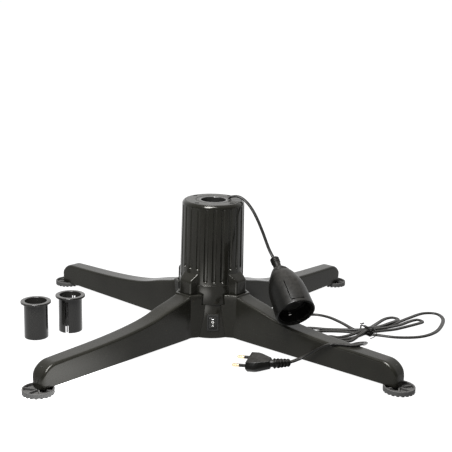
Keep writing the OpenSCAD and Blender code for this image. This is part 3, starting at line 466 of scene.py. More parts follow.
# fine moulded texture and slow patches
def buildGrain(look):
    tree, given, result = newTree("mouldGrain", "ShaderNodeTree", [
        ("Vector", "Vector"), ("Scale", "Float", 900.0), ("Patch Scale", "Float", 22.0)],
        [("Height", "Float"), ("Patch", "Float")])
    fine = noise(tree, given["Vector"], given["Scale"], look["detail"], Roughness=look["roughness"])
    cells = addNode(tree, "ShaderNodeTexVoronoi", Vector=given["Vector"], Scale=given["Scale"])
    height = sumOf(tree, "MULTIPLY_ADD", cells.outputs["Distance"], look["cells"], fine)
    slow = noise(tree, given["Vector"], given["Patch Scale"], look["patchDetail"])
    tree.links.new(height, result["Height"])
    tree.links.new(shareOf(tree, slow, look["patchSpan"]), result["Patch"])
    return tree


# sparse fine scratches
def buildScuff(look):
    tree, given, result = newTree("fineScuffs", "ShaderNodeTree", [
        ("Vector", "Vector"), ("Scale", "Float", 60.0), ("Amount", "Float", 0.5)], [("Mask", "Float")])
    drawn = addNode(tree, "ShaderNodeMapping", Vector=given["Vector"], Rotation=look["turn"],
                    Scale=look["stretch"]).outputs[0]
    thin = shareOf(tree, noise(tree, drawn, given["Scale"], look["detail"]), look["thin"])
    some = shareOf(tree, noise(tree, given["Vector"], look["placeScale"], look["placeDetail"]), look["places"])
    mask = sumOf(tree, "MULTIPLY", sumOf(tree, "MULTIPLY", thin, some), given["Amount"])
    tree.links.new(mask, result["Mask"])
    return tree


# a little dust on what faces up
def buildDust(look):
    tree, given, result = newTree("settledDust", "ShaderNodeTree", [
        ("Vector", "Vector"), ("Amount", "Float", 0.1)], [("Mask", "Float")])
    normal = addNode(tree, "ShaderNodeNewGeometry").outputs["Normal"]
    up = addNode(tree, "ShaderNodeSeparateXYZ", Vector=normal).outputs[2]
    facing = shareOf(tree, up, look["facing"])
    specks = noise(tree, given["Vector"], look["scale"], look["detail"], Roughness=look["roughness"])
    mask = sumOf(tree, "MULTIPLY", sumOf(tree, "MULTIPLY", facing, specks), given["Amount"])
    tree.links.new(mask, result["Mask"])
    return tree


grainGroup, scuffGroup, dustGroup = buildGrain(grainLook), buildScuff(scuffLook), buildDust(dustLook)


def useGroup(tree, group, **inputs):
    return addNode(tree, "ShaderNodeGroup", {"node_tree": group}, **inputs).outputs


def colour(values):
    return (*values, 1.0)


def blended(tree, share, first, second):
    return addNode(tree, "ShaderNodeMix", {"data_type": "RGBA"}, Factor=share, n6=first, n7=second).outputs[2]


plainLook = {"metal": 0.0, "specular": 0.5, "sheen": white, "alongUv": False, "stretch": None, "patch": 22.0,
             "scuffScale": 60.0, "scuff": 0.3, "dust": 0.06, "relief": 0.25, "depth": 0.00004}
wear = {"scratchShare": 0.35, "scratchLift": 2.2, "scratchBase": 0.02, "scratchRough": 0.2,
        "dustTone": (0.42, 0.4, 0.37), "dustRough": 0.8}


# plastic, rubber or metal from a dictionary of its look
def makeFinish(name, given):
    look = {**plainLook, **given}
    material = bpy.data.materials.new(name)
    material.use_nodes = True
    tree = material.node_tree
    tree.nodes.clear()
    output = addNode(tree, "ShaderNodeOutputMaterial")
    shader = addNode(tree, "ShaderNodeBsdfPrincipled", Metallic=look["metal"], Specular_IOR_Level=look["specular"],
                     Specular_Tint=colour(look["sheen"]))
    tree.links.new(shader.outputs[0], output.inputs[0])
    spots = addNode(tree, "ShaderNodeTexCoord").outputs
    vector = spots["UV" if look["alongUv"] else "Object"]
    if look["stretch"]:
        vector = addNode(tree, "ShaderNodeMapping", Vector=vector, Scale=look["stretch"]).outputs[0]
    grain = useGroup(tree, grainGroup, Vector=vector, Scale=look["grain"], Patch_Scale=look["patch"])
    scuff = useGroup(tree, scuffGroup, Vector=vector, Scale=look["scuffScale"], Amount=look["scuff"])
    dust = useGroup(tree, dustGroup, Vector=spots["Object"], Amount=look["dust"])
    base = blended(tree, grain["Patch"], colour(look["dark"]), colour(look["light"]))
    scratch = colour([min(1, wear["scratchLift"] * c + wear["scratchBase"]) for c in look["light"]])
    marked = blended(tree, sumOf(tree, "MULTIPLY", scuff["Mask"], wear["scratchShare"]), base, scratch)
    dusty = blended(tree, dust["Mask"], marked, colour(wear["dustTone"]))
    tree.links.new(dusty, shader.inputs["Base Color"])
    low, high = look["rough"]
    rough = addNode(tree, "ShaderNodeMapRange", n0=grain["Patch"], n3=low, n4=high).outputs[0]
    rough = sumOf(tree, "ADD", rough, sumOf(tree, "MULTIPLY", scuff["Mask"], wear["scratchRough"]))
    rough = sumOf(tree, "ADD", rough, sumOf(tree, "MULTIPLY", dust["Mask"], wear["dustRough"]), clamp=True)
    tree.links.new(rough, shader.inputs["Roughness"])
    height = sumOf(tree, "SUBTRACT", grain["Height"], scuff["Mask"])
    bump = addNode(tree, "ShaderNodeBump", Height=height, Strength=look["relief"], Distance=look["depth"])
    tree.links.new(bump.outputs[0], shader.inputs["Normal"])
    return material


looks = {
    "housing": {"dark": (0.0038, 0.0037, 0.003), "light": (0.0062, 0.006, 0.0048), "rough": (0.12, 0.17),
                "grain": 1300.0, "relief": 0.12, "dust": 0.012, "specular": 0.18, "sheen": (1.0, 0.985, 0.93)},
    "leg": {"dark": (0.0046, 0.0045, 0.0036), "light": (0.0072, 0.007, 0.0056), "rough": (0.2, 0.26),
            "grain": 1300.0, "relief": 0.2, "dust": 0.018, "specular": 0.14, "sheen": (1.0, 0.985, 0.93)},
    "cover": {"dark": (0.0075, 0.0073, 0.0062), "light": (0.011, 0.0107, 0.0092), "rough": (0.34, 0.4),
              "grain": 1500.0, "relief": 0.12, "dust": 0.02, "specular": 0.3, "sheen": (1.0, 0.985, 0.95)},
    "sleeve": {"dark": (0.005, 0.005, 0.0048), "light": (0.008, 0.008, 0.0075), "rough": (0.24, 0.32),
               "grain": 1200.0},
    "adapter": {"dark": (0.006, 0.006, 0.0056), "light": (0.0095, 0.0092, 0.0085), "rough": (0.14, 0.2),
                "grain": 1300.0, "relief": 0.12, "specular": 0.3},
    "recess": {"dark": (0.008, 0.008, 0.0075), "light": (0.012, 0.012, 0.011), "rough": (0.35, 0.45),
               "grain": 1100.0, "specular": 0.4},
    "nickel": {"dark": (0.66, 0.65, 0.62), "light": (0.76, 0.75, 0.72), "rough": (0.18, 0.26), "grain": 700.0,
               "metal": 1.0, "relief": 0.1, "dust": 0.02},
    "rubber": {"dark": (0.009, 0.0088, 0.0083), "light": (0.015, 0.0147, 0.0137), "rough": (0.62, 0.78),
               "grain": 700.0, "relief": 0.2, "depth": 0.00005},
    "jacket": {"dark": (0.003, 0.003, 0.0028), "light": (0.006, 0.0058, 0.0053), "rough": (0.3, 0.38),
               "grain": 900.0, "specular": 0.12, "alongUv": True, "stretch": (1.0, 0.1, 1.0), "relief": 0.15,
               "patch": 30.0},
    "connector": {"dark": (0.0015, 0.0015, 0.0013), "light": (0.0028, 0.0027, 0.0024), "rough": (0.3, 0.4),
                  "grain": 1100.0, "specular": 0.1, "relief": 0.4},
    "switch": {"dark": (0.005, 0.005, 0.0047), "light": (0.008, 0.008, 0.0075), "rough": (0.22, 0.3),
               "grain": 1400.0, "specular": 0.25},
    "mark": {"dark": (0.78, 0.78, 0.75), "light": (0.86, 0.86, 0.83), "rough": (0.45, 0.55), "grain": 1500.0,
             "relief": 0.1, "dust": 0.02},
    "steel": {"dark": (0.48, 0.48, 0.49), "light": (0.6, 0.6, 0.61), "rough": (0.22, 0.36), "grain": 700.0,
              "metal": 1.0, "stretch": (1.0, 1.0, 0.12), "relief": 0.2, "dust": 0.03},
    "blackScrew": {"dark": (0.03, 0.03, 0.031), "light": (0.06, 0.06, 0.062), "rough": (0.3, 0.42),
                   "grain": 900.0, "metal": 0.9, "relief": 0.3},
    "motorSteel": {"dark": (0.55, 0.55, 0.54), "light": (0.68, 0.68, 0.67), "rough": (0.28, 0.4),
                   "grain": 600.0, "metal": 1.0, "stretch": (1.0, 1.0, 0.15), "relief": 0.15},
    "gear": {"dark": (0.66, 0.63, 0.54), "light": (0.74, 0.71, 0.62), "rough": (0.38, 0.48), "grain": 900.0},
    "bush": {"dark": (0.42, 0.27, 0.12), "light": (0.52, 0.35, 0.17), "rough": (0.34, 0.46), "grain": 800.0,
             "metal": 1.0},
    "pin": {"dark": (0.8, 0.64, 0.4), "light": (0.88, 0.72, 0.48), "rough": (0.24, 0.34), "grain": 800.0,
            "metal": 1.0, "relief": 0.1, "dust": 0.02},
    "brass": {"dark": (0.62, 0.44, 0.17), "light": (0.74, 0.55, 0.25), "rough": (0.2, 0.32), "grain": 800.0,
              "metal": 1.0, "dust": 0.02},
    "holder": {"dark": (0.09, 0.035, 0.015), "light": (0.13, 0.055, 0.025), "rough": (0.4, 0.55), "grain": 700.0},
    "carbon": {"dark": (0.02, 0.02, 0.021), "light": (0.05, 0.05, 0.052), "rough": (0.5, 0.7), "grain": 1200.0,
               "relief": 0.5},
}
finish = {name: makeFinish(name + "Finish", look) for name, look in looks.items()}
print("finishes made:", len(finish))


# leads

leadSize = {"width": 5.4, "thick": 2.7, "waist": 0.85, "floor": 1.45, "second": 4.55, "third": 7.65,
            "streakAcross": 0.0008, "streakAlong": 10}
socketTurning = {"steps": 8, "from": 2, "over": 5, "start": (0, 1, 0), "end": (0.5, 0.86, 0)}
z1, z2, z3 = leadSize["floor"], leadSize["second"], leadSize["third"]
mainsRoute = [
    (68.4, 0.4, 11.7), (77, 4, 8.6), (92, 14, 3.4), (117, 40, z1), (145, 56, z1), (166, 47, z1), (181, 23, z1),
    (193, -4.5, z1), (206, -15, z1), (222, -9, z1), (250, 14, z1), (280, 41, z1), (306, 61, z1), (325, 59, z1),
    (328, 38, z1), (317, 9, z1), (300, -17, z1), (276, -33, z1), (246, -35, z1), (222, -27, z1), (204, -20.5, z1),
    (180, -13, z1), (150, -11, z1), (133, -15, z1), (121, -7, z1), (132, 2, z1), (155, -3, z1), (182, -8, 2.6),
    (203, -13, z2), (216, -2, 3.4), (231, 20, z1), (246, 38, z1), (258, 43, z1), (263, 34, z1), (247, 15, 3.6),
    (227, -3, 4.8), (208, -17, z3), (187, -29, 4), (168, -34, z1), (156, -33, 2.4), (148, -41, 3.6), (156, -49, 3.6),
    (168, -46, 3), (186, -38, 2.6), (206, -26, z2), (224, -18, 4), (252, -3, z1), (282, 15, z1), (295, 25, z1),
    (291, 34, z1), (280, 29, z1), (262, 14, z1), (236, -5, 4), (208, -23, z3), (194, -37, 6.4), (179, -48, z1),
    (165, -48, z1), (153, -53, z1), (152, -62, z1), (162, -67, z1), (176, -62, 1.6), (188, -58, 2.4),
    (195.5, -62, 4.6), (193.5, -73, 8), (187, -94, 15.3), (179, -120, 24.5), (173, -140, 32), (169, -151, 36.8),
    (160, -156.5, 37.1), (148, -154.5, 37.4), (138, -152.5, 37.7), (131.5, -151.5, 36.8), (123, -145, 31),
    (112, -136, 19.8), (102.2, -133.3, 13), (92.6, -135.8, 9.9), (85.6, -139.7, 9.4)]
socketRoute = [
    (20.35, 0, 173), (20.35, 0, 177.2), (20.5, 0, 179), (22, -0.1, 180.8), (25.5, -0.9, 181.9), (30.5, -2.8, 182.4),
    (36.1, -6, 180.7), (42.8, -10.8, 175.7), (49.6, -17, 167), (56, -24.2, 155.1), (62.4, -32, 140.1),
    (68.2, -40, 124.9), (72.2, -45.8, 116.8), (75.2, -50.2, 112.5)]


# section of the flat two-core lead, with a shallow groove along each broad side
def twinOutline(size):
    r = size["thick"] / 2
    out = size["width"] / 2 - r
    lobe = [math.radians(a) for a in (-112, -80, -48, -16, 16, 48, 80, 112)]
    right = [(out + r * math.cos(a), r * math.sin(a)) for a in lobe]
    left = [(-x, -y) for x, y in right]
    return right + [(0, size["waist"])] + left + [(0, -size["waist"])]


def pathLength(path):
    return sum((b - a).length for a, b in zip(path, path[1:]))


# length along the lead and place round it, for the jacket's drawn streaks
def layUv(mesh, path, count):
    layer = mesh.uv_layers.new(name="along")
    run = [0.0]
    for a, b in zip(path, path[1:]):
        run.append(run[-1] + (b - a).length)
    for corner in mesh.loops:
        ring, spot = divmod(corner.vertex_index, count)
        along = run[min(ring, len(run) - 1)] * mm
        layer.data[corner.index].uv = (spot * leadSize["streakAcross"], along * leadSize["streakAlong"])


def makeLead(name, route, wideAt, node, body, steps=6):
    path = [Vector((p.x, p.y, max(p.z, leadSize["floor"]))) for p in smoothPath(route, steps)]
    outline = twinOutline(leadSize)
    points, faces = sweep(path, outline, wideAt)
    mesh = bpy.data.meshes.new(name)
    mesh.from_pydata([Vector(p) * mm for p in points], [], faces)
    layUv(mesh, path, len(outline))
    bm = bmesh.new()
    bm.from_mesh(mesh)
    bmesh.ops.recalc_face_normals(bm, faces=bm.faces)
    bm.to_mesh(mesh)
    bm.free()
    smoothed(mesh, 60)
    lead = finished(objectOf(name, mesh), finish["jacket"], body, node)
    return lead, path


def levelAt(i, ahead):
    return Vector((0, 0, 1)).cross(ahead)


# broad side from along y, at the sleeve, to across the arch
def socketTurn(i, ahead):
    look = socketTurning
    share = min(max(i / look["steps"] - look["from"], 0) / look["over"], 1)
    return Vector(look["start"]).lerp(Vector(look["end"]), share)


mainsLead, mainsPath = makeLead("mainsLead", mainsRoute, levelAt, "mains_lead", "stand")
socketLead, socketPath = makeLead("socketLead", socketRoute, socketTurn, "socket_lead", "turning sleeve",
                                  socketTurning["steps"])
print("leads laid:", round(pathLength(mainsPath)), "mm and", round(pathLength(socketPath)), "mm")


# mains lead's relief, tie and plug

reliefLook = {"height": 12, "from": 46.5, "to": 64.5, "ribs": 6, "startRadius": 4.35, "endRadius": 3.6,
              "ribWidth": 0.75,
              "profile": [(0, 35.6), (4.1, 35.6), (4.1, 41.0), (5.4, 41.0, 0.3), (5.4, 43.0, 0.7), (4.3, 43.2, 0.3),
                          (4.0, 46), (3.1, 65.6), (3.1, 67.0, 0.6), (0, 67.0)]}


def makeGland(look):
    along = shifted(z=look["height"]) @ lying
    core = shaped("core", [placed(lathe(softened(look["profile"], 3), 40), along)])
    path = [(mix(look["from"], look["to"], k / 10), 0, look["height"]) for k in range(11)]
    gland = joined("mainsGland", [core, ribs("rings", path, look)])
    finished(gland, finish["connector"], "stand", "mains_gland")


makeGland(reliefLook)

# the wire goes twice round the bundle, is twisted on top, and one end hangs down beside it
tieLook = {"middle": (205.9, -18.6), "turn": 20, "half": 12.1, "low": 0.6, "top": 9.6, "wire": 0.55,
           "loops": ((-0.75, 0.0), (0.7, 0.15)), "sway": 0.35, "swayTurn": 0.4, "eye": 2.6, "eyeSteps": 26,
           "eyeRound": 22, "eyeStart": -0.6, "eyeIn": 1.2, "eyeUp": 0.9, "eyeRise": 0.78, "eyeStep": 0.16,
           "twistAt": (1.2, -4.5), "twistRadius": 0.5, "twistSteps": 40, "twistTurn": 0.75, "twistStep": 0.26,
           "twistUp": 0.95, "twistWire": 0.44,
           "tail": [(0.6, 1.0, 10.0), (1.6, -2.0, 10.9), (4.2, -5.6, 10.7), (7.0, -8.0, 9.2), (8.6, -11.4, 6.8),
                    (7.4, -14.0, 3.6), (4.0, -15.2, 1.2), (0.2, -16.4, 0.7), (-4.2, -18.2, 0.7)]}


def makeTie(look):
    place = shifted(*look["middle"]) @ turned(look["turn"])
    half, top, wire = look["half"], look["top"], look["wire"]
    wires = []
    for shift, lift in look["loops"]:
        outline = softened([(-half, look["low"], 2.2), (half, look["low"], 2.2), (half, top + lift, 3.5),
                            (-half, top + lift, 3.5)], 6)
        path = [place @ Vector((shift + look["sway"] * math.sin(y * look["swayTurn"]), y, z)) for y, z in outline]
        wires.append(tube(path + path[:2], wire, 10))
    eye = []
    for k in range(look["eyeSteps"]):
        a = look["eyeStart"] + 2 * math.pi * k / look["eyeRound"]
        eye.append(place @ Vector((look["eye"] * (1 - math.cos(a)), half - look["eyeIn"] + look["eyeStep"] * k,
                                   top + look["eyeUp"] + look["eyeRise"] * math.sin(a))))
    wires.append(tube(eye, wire, 10))
    wires.append(tube(smoothPath([place @ Vector(p) for p in look["tail"]], 6), wire, 10))
    (x, y), r = look["twistAt"], look["twistRadius"]
    twist = []
    for k in range(look["twistSteps"]):
        a = k * look["twistTurn"]
        twist.append(place @ Vector((x + r * math.cos(a), y + k * look["twistStep"],
                                     top + look["twistUp"] + r * math.sin(a))))
    wires.append(tube(twist, look["twistWire"], 8))
    return makePiece("leadTie", wires, finish["connector"], "stand", "lead_tie", 60)


leadTie = makeTie(tieLook)

plugLook = {"face": (38.0, -136.7, 9.4), "turn": 153.4, "pitch": 5.8, "roll": -12, "length": 27.5, "width": 33,
            "thick": 13.4, "flat": 0.7, "pinGap": 18.6, "pinLength": 18.5, "sleeveShare": 0.55, "pinRadius": 2.0,
            "swell": 0.5}


def plugPlace(look):
    return shifted(*look["face"]) @ turned(look["turn"]) @ turned(look["pitch"], "Y") @ turned(look["roll"], "X")


def makePlug(look):
    place = plugPlace(look)
    length, w, t = look["length"], look["width"] / 2, look["thick"] / 2
    # (along, half width, half thickness), from the narrow end to the face
    stations = [(-length, 6.6, t * 0.72), (-length + 0.5, 7.1, t * 0.79), (-length * 0.86, 9.0, t * 0.84),
                (-length * 0.72, w * 0.68, t * 0.91), (-length * 0.56, w * 0.85, t * 0.96),
                (-length * 0.42, w * 0.965, t * 0.99), (-length * 0.34, w, t), (-length * 0.2, w, t), (-0.9, w, t),
                (-0.35, w - 0.25, t - 0.25), (0, w - 0.8, t - 0.8)]
    rows = []
    for x, half, thick in stations:
        flat = half * look["flat"]
        corners = [(-half, 0, 1.8), (-flat, -thick, 1.3), (flat, -thick, 1.3), (half, 0, 1.8), (flat, thick, 1.3),
                   (-flat, thick, 1.3)]
        rows.append([place @ Vector((x, a, b)) for a, b in softened(corners, 3)])
    body = makePiece("plugBody", [loft(rows)], finish["connector"], "stand", "plug_body", 28)
    r, end = look["pinRadius"], look["pinLength"]
    split = end * look["sleeveShare"]
    # the sleeve swells a little at the plug's face
    sleeve = softened([(0, -5), (r, -5), (r + look["swell"], 0), (r + 0.35, 0.9, 0.3), (r - 0.05, 1.6, 0.4),
                       (r - 0.05, split, 0.1), (0, split)], 3)
    tip = softened([(0, split - 1), (r, split - 1), (r, split, 0.05), (r, end - 0.9, 0.5), (r - 1.0, end, 0.6),
                    (0, end)], 4)
    spots = [place @ shifted(y=side * look["pinGap"] / 2) @ lying for side in (-1, 1)]
    sleeves = makePiece("pinSleeves", [placed(lathe(sleeve, 32), spot) for spot in spots], finish["switch"],
                        "stand", "pin_sleeves")
    pins = makePiece("plugPins", [placed(lathe(tip, 32), spot) for spot in spots], finish["pin"],
                     "stand", "plug_pins")
    return body, sleeves, pins


plugBody, pinSleeves, plugPins = makePlug(plugLook)

tailLook = {"steps": 20, "length": 23.2, "bend": 55, "bendSteps": 6, "fall": -0.15, "gap": 1.0, "inside": (2.2, 1.1),
            "firstRib": 5, "ribs": 5, "startRadius": 5.35, "endRadius": 4.15, "ribWidth": 0.95, "coreStart": 4.7,
            "coreEnd": 3.4}


def makeTail(plug, look):
    way, pitch = math.radians(plug["turn"] + 180), math.radians(plug["pitch"])
    back = Vector((math.cos(way) * math.cos(pitch), math.sin(way) * math.cos(pitch), math.sin(pitch)))
    spot = Vector(plug["face"]) + (plug["length"] + look["gap"]) * back
    path = [spot - deep * back for deep in look["inside"]] + [spot]
    step = look["length"] / look["steps"]
    for i in range(1, look["steps"] + 1):
        share = min(i / look["bendSteps"], 1)
        a = way + math.radians(look["bend"]) * share
        spot = spot + step * Vector((math.cos(a), math.sin(a), mix(math.sin(pitch), look["fall"], share)))
        path.append(spot)
    last = len(path) - 1
    core = shaped("core", [tube(path, 1.0, 28, lambda i: mix(look["coreStart"], look["coreEnd"], i / last))])
    relief = joined("plugRelief", [core, ribs("rings", path[look["firstRib"]:], look)], 50)
    return finished(relief, finish["connector"], "stand", "plug_relief")


plugRelief = makeTail(plugLook, tailLook)
print("plug, relief and tie made")


# socket coupling on the turning lead

couplingLook = {"mouth": (94.3, -120.4, 64.5), "turn": -74.8, "dip": 33.4, "roll": 6, "length": 71.5, "cone": 16,
                "recess": 20.2, "depth": 17.5, "gap": 19, "radius": 24.5, "hole": 2.6, "dish": (3.0, 4.4),
                "insert": 15.8, "insertGap": 3.1, "barrel": (2.1, 2.45, 5, 13), "cordHalf": (1.75, 3.1),
                "panelHalf": 8.3, "panelFrom": 37, "panelTo": 66.8, "panelAt": 24.9, "panelIn": 19.0,
                "ridges": ((6.9, 11.15), (9.6, 12.65)), "ridgeSpread": 62, "ribs": 3, "startRadius": 5.0,
                "endRadius": 5.0, "ribWidth": 0.9, "ribsAt": (-14.6, -12.6, -10.6, -8.8), "cordTurn": -34,
                "bell": [(5.9, 0.1), (7.5, 1.3), (10.7, 5.5), (14.7, 12.5), (17.4, 17.7), (20.0, 25), (22.2, 33),
                         (23.3, 42), (23.8, 52), (24.2, 61)],
                "clip": [(0.4, 0.1), (0.45, 3.6), (0.9, 5.0), (1.7, 3.4), (1.5, 0.6)]}


def couplingPlace(look):
    return (shifted(*look["mouth"]) @ turned(look["turn"]) @ turned(90 + look["dip"], "Y") @ turned(look["roll"])
            @ shifted(z=-look["length"]))


def couplingBody(look, place, floor):
    end, inner, wide, half = look["length"], look["recess"], look["radius"], look["panelHalf"]
    side = [(p.x, p.y) for p in smoothPath([(r, z, 0) for r, z in look["bell"] + [(wide, end - 2)]], 3)]
    profile = softened([(0, 0), (5.4, 0)] + side + [
        (wide, end, 0.9), (inner + 1.7, end, 0.6), (inner + 1.6, end - 2.4, 0.3), (inner, end - 2.5, 0.5),
        (inner, floor, 0.6), (inner - 3, floor, 0.4), (inner - 3, end - 30), (0, end - 30)], 4)
    shell = shaped("shell", [placed(lathe(profile, 128), place)])
    panel = shaped("panel", [placed(box((-look["panelAt"], -half, look["panelFrom"]),
                                        (-look["panelIn"], half, look["panelTo"]), 0.35, 3), place)], 30)
    # two grip ridges round the shoulder on the upper side
    ridges, spread = [], look["ridgeSpread"]
    for z, r in look["ridges"]:
        arc = [place @ Vector((-r * math.cos(math.radians(a)), r * math.sin(math.radians(a)), z))
               for a in range(-spread, spread + 1, 4)]
        ridges.append(tube(arc, 1.0, 12, lambda i: 0.25 + 0.75 * math.sin(math.pi * i / (len(arc) - 1))))
    whole = joined("couplingBody", [shell, panel, shaped("grip", ridges, 60)])
    return finished(whole, finish["connector"], "turning sleeve", "coupling_body")


def makeCoupling(look):
    place = couplingPlace(look)
    floor, inner, cone = look["length"] - look["depth"], look["recess"], look["cone"]
    body = couplingBody(look, place, floor)

    spots = [place @ shifted(y=s * look["gap"] / 2) for s in (-1, 1)]
    wide, low, high = inner - look["insertGap"], floor - look["insert"], floor - 0.1
    disc = softened([(0, low), (wide, low), (wide, high, 0.5), (0, high)], 3)
    insert = shaped("couplingInsert", [placed(lathe(disc, 80), place)])
    deep, out = look["dish"]
    dish = lathe([(0, floor - 0.9), (deep, floor - 0.9), (out, floor + 0.3), (0, floor + 0.3)], 40)
    carved(insert, [placed(rod(floor - 14, floor + 3, look["hole"], 0.05), spot) for spot in spots]
           + [placed(dish, spot) for spot in spots])
    finished(insert, finish["recess"], "turning sleeve", "coupling_insert")

    bore, wide, upper, lower = look["barrel"]
    barrel = lathe(softened([(bore, floor - lower), (wide, floor - lower), (wide, floor - upper),
                             (bore, floor - upper, 0.1)], 2), 32)
    contacts = makePiece("couplingContacts", [placed(barrel, spot) for spot in spots], finish["brass"],
                         "turning sleeve", "coupling_contacts")
    clips = []
    for s in (-1, 1):
        path = smoothPath([(s * (inner - x), 0, floor + z) for x, z in look["clip"]], 5)
        strip = sweep(path, rectangle(1.5, 0.25, 0.12, 2), lambda i, ahead: Vector((0, 1, 0)))
        clips.append(placed(strip, place))
    earths = makePiece("couplingClips", clips, finish["nickel"], "turning sleeve")

    core = shaped("core", [placed(lathe(softened(
        [(0, -cone), (5.3, -cone, 0.8), (5.2, -8), (5.1, 3.0), (0, 3.0)], 3), 40), place)])
    a, b = look["cordHalf"]
    carved(core, [placed(box((-a, -b, -cone - 1), (a, b, -cone + 2)), place @ turned(look["cordTurn"]))])
    rings = ribs("rings", [place @ Vector((0, 0, z)) for z in look["ribsAt"]], look)
    relief = finished(joined("couplingRelief", [core, rings], 50), finish["connector"],
                      "turning sleeve", "coupling_relief")
    return body, insert, contacts, earths, relief


couplingPieces = makeCoupling(couplingLook)
print("coupling made")


# drum

drumLook = {"top": 177.5, "topRadius": 40.05, "lowRadius": 41.4, "round": 5.0, "flutes": 24, "floor": 39.0,
            "half": 2.5, "rise": 1.5, "softness": 0.35, "fluteTop": 173.2, "fluteLow": 77.0, "fluteOverLeg": 92.5,
            "legAngle": 20, "shellRadius": 38.6, "skirtTop": 73.4, "skirtLow": 48.4, "skirtRadius": 42.0,
            "coverRadius": 36.5, "middleRadius": 40.8,
            "columns": (0.0, 0.6, 1.1, 1.5, 1.8, 2.05, 2.25, 2.45, 2.65, 2.85, 3.05, 3.3, 4.2),
            "ends": (0, 0.12, 0.3, 0.55, 0.9, 1.3, 1.8, 2.4),
            "levels": (75.2, 76.4, 84.0, 90.0, 91.8, 98.0, 110.0, 125.0, 140.0, 155.0, 166.0, 171.9)}


# columns set close together at the grooves' edges
def drumAngles(look):
    pitch = 2 * math.pi / look["flutes"]
    across = sorted({s for s in look["columns"]} | {-s for s in look["columns"]})
    return [pitch * k - math.pi / 2 + s / look["middleRadius"] for k in range(look["flutes"]) for s in across]


def makeDrum(look):
    outer, low, corner, rim = look["topRadius"], look["lowRadius"], look["round"], look["coverRadius"]
    sideTop, skirtTop = look["top"] - corner, look["skirtTop"]
    # rows set close together at the grooves' ends
    heights = {skirtTop + 0.25, *look["levels"], sideTop}
    for e in look["ends"]:
        heights |= {look["fluteTop"] - e, look["fluteLow"] + e, look["fluteOverLeg"] + e}
    wall = [(mix(low, outer, (z - skirtTop) / (sideTop - skirtTop)), z) for z in sorted(heights)]
    arc = [(outer - corner + corner * math.cos(math.radians(a)), sideTop + corner * math.sin(math.radians(a)))
           for a in range(4, 73, 4)]
    skirt = softened([(39.6, look["skirtLow"]), (look["skirtRadius"], look["skirtLow"], 0.5),
                      (look["skirtRadius"] - 0.15, skirtTop, 0.7), (low, skirtTop + 0.25)], 4, False)
    inside = softened([(rim + 0.25, 177.24), (rim, 177.0, 0.1), (rim, 174.5), (25.0, 174.5), (25.0, 171.5),
                       (37.4, 171.5), (37.4, 72.4), (39.4, 72.4), (39.6, look["skirtLow"] + 0.2)], 3, False)
    shell = shaped("shell", [lathe(skirt + wall[1:] + arc + inside, drumAngles(look))], 40)
    lengths = {"Floor Radius": "floor", "Half Width": "half", "Wall Rise": "rise", "Edge Softness": "softness",
               "Top": "fluteTop", "Bottom": "fluteLow", "Bottom Over Legs": "fluteOverLeg",
               "Shell Radius": "shellRadius"}
    values = {label: look[key] * mm for label, key in lengths.items()}
    values |= {"Flutes": look["flutes"], "Leg Angle": math.radians(look["legAngle"])}
    return grown(shell, fluteTree, values, 40)


# outline across a rounded bar, open below: up one side, over the top and down the other
def beamRow(s, low, top, halfLow, halfTop, fillet, inset=0.0, foot=0.0, steps=8):
    fillet = max(min(fillet, top - low - 0.6), 0.3)
    a, b = halfLow - inset, halfTop - inset
    side = mix(b, a, fillet / max(top - low, 1))
    right = [(a - foot, low), (a, low + foot), (mix(a, side, 0.5), mix(low, top - fillet, 0.5))]
    for k in range(steps + 1):
        t = math.pi / 2 * k / steps
        right.append((b - fillet + fillet * math.cos(t) + (side - b) * (1 - math.sin(t)),
                      top - fillet + fillet * math.sin(t)))
    right += [(b * 0.5, top), (0, top)]
    left = [(-x, z) for x, z in reversed(right[:-1])]
    return [(s, x, z) for x, z in right + left]


# a boss is a wedge below the grooves; its top slopes and then rounds over to the end
bossLook = {"reach": 51.5, "halfOut": 9.5, "halfIn": 12.6, "fillet": 1.5, "corner": 2.0, "low": 48.4,
            "start": 36, "soften": (0.8, 46, 6), "edge": 79.5, "slope": 0.693, "bendAt": 49.35,
            "bendRadius": 5, "bendFoot": 76.88,
            "stations": (37, 38.5, 40, 41.5, 43, 44.5, 46, 47.5, 48.6, 49.3, 49.8, 50.3, 50.7, 51.0, 51.25, 51.42,
                         51.5),
            "tongue": ((44.8, -11.4), (51.4, -9.2), (51.4, 9.2), (44.8, 11.4)), "tongueAt": (30, 49)}


def makeBoss(look, turn):
    rows = []
    reach, corner, bend = look["reach"], look["corner"], look["bendRadius"]
    more, softFrom, softOver = look["soften"]
    for s in look["stations"]:
        if s < look["bendAt"]:
            top = look["edge"] + (reach - s) * look["slope"]
        else:
            top = look["bendFoot"] + math.sqrt(max(bend ** 2 - (s - reach + bend) ** 2, 0))
        over = s - (reach - corner)
        cut = corner - math.sqrt(max(corner ** 2 - over ** 2, 0)) if over > 0 else 0
        half = mix(look["halfIn"], look["halfOut"], (s - look["start"]) / (reach - look["start"]))
        fillet = look["fillet"] + more * max(0, (s - softFrom) / softOver)
        rows.append(beamRow(s, look["low"], top, half, half, fillet, cut))
    # the tongue plugs into the leg
    tongue = [[(x, y, z) for x, y in look["tongue"]] for z in look["tongueAt"]]
    return [placed(loft(rows), turned(turn)), placed(loft(tongue), turned(turn))]


postLook = {"ring": 34.4, "radius": 4.4, "low": 39.3, "high": 84, "strutFrom": -39.0, "strutTo": -34.8,
            "strutSide": 8, "strutHalf": 1.5, "strutLow": 94, "strutHigh": 120}


def drumPosts(look):
    post = rod(look["low"], look["high"], look["radius"], 0.3)
    shapes = [placed(post, turned(turn) @ shifted(look["ring"])) for turn in diagonals]
    # struts that carry the brush holder
    for y in (-look["strutSide"], look["strutSide"]):
        shapes.append(box((look["strutFrom"], y - look["strutHalf"], look["strutLow"]),
                          (look["strutTo"], y + look["strutHalf"], look["strutHigh"]), 0.4))
    return shapes


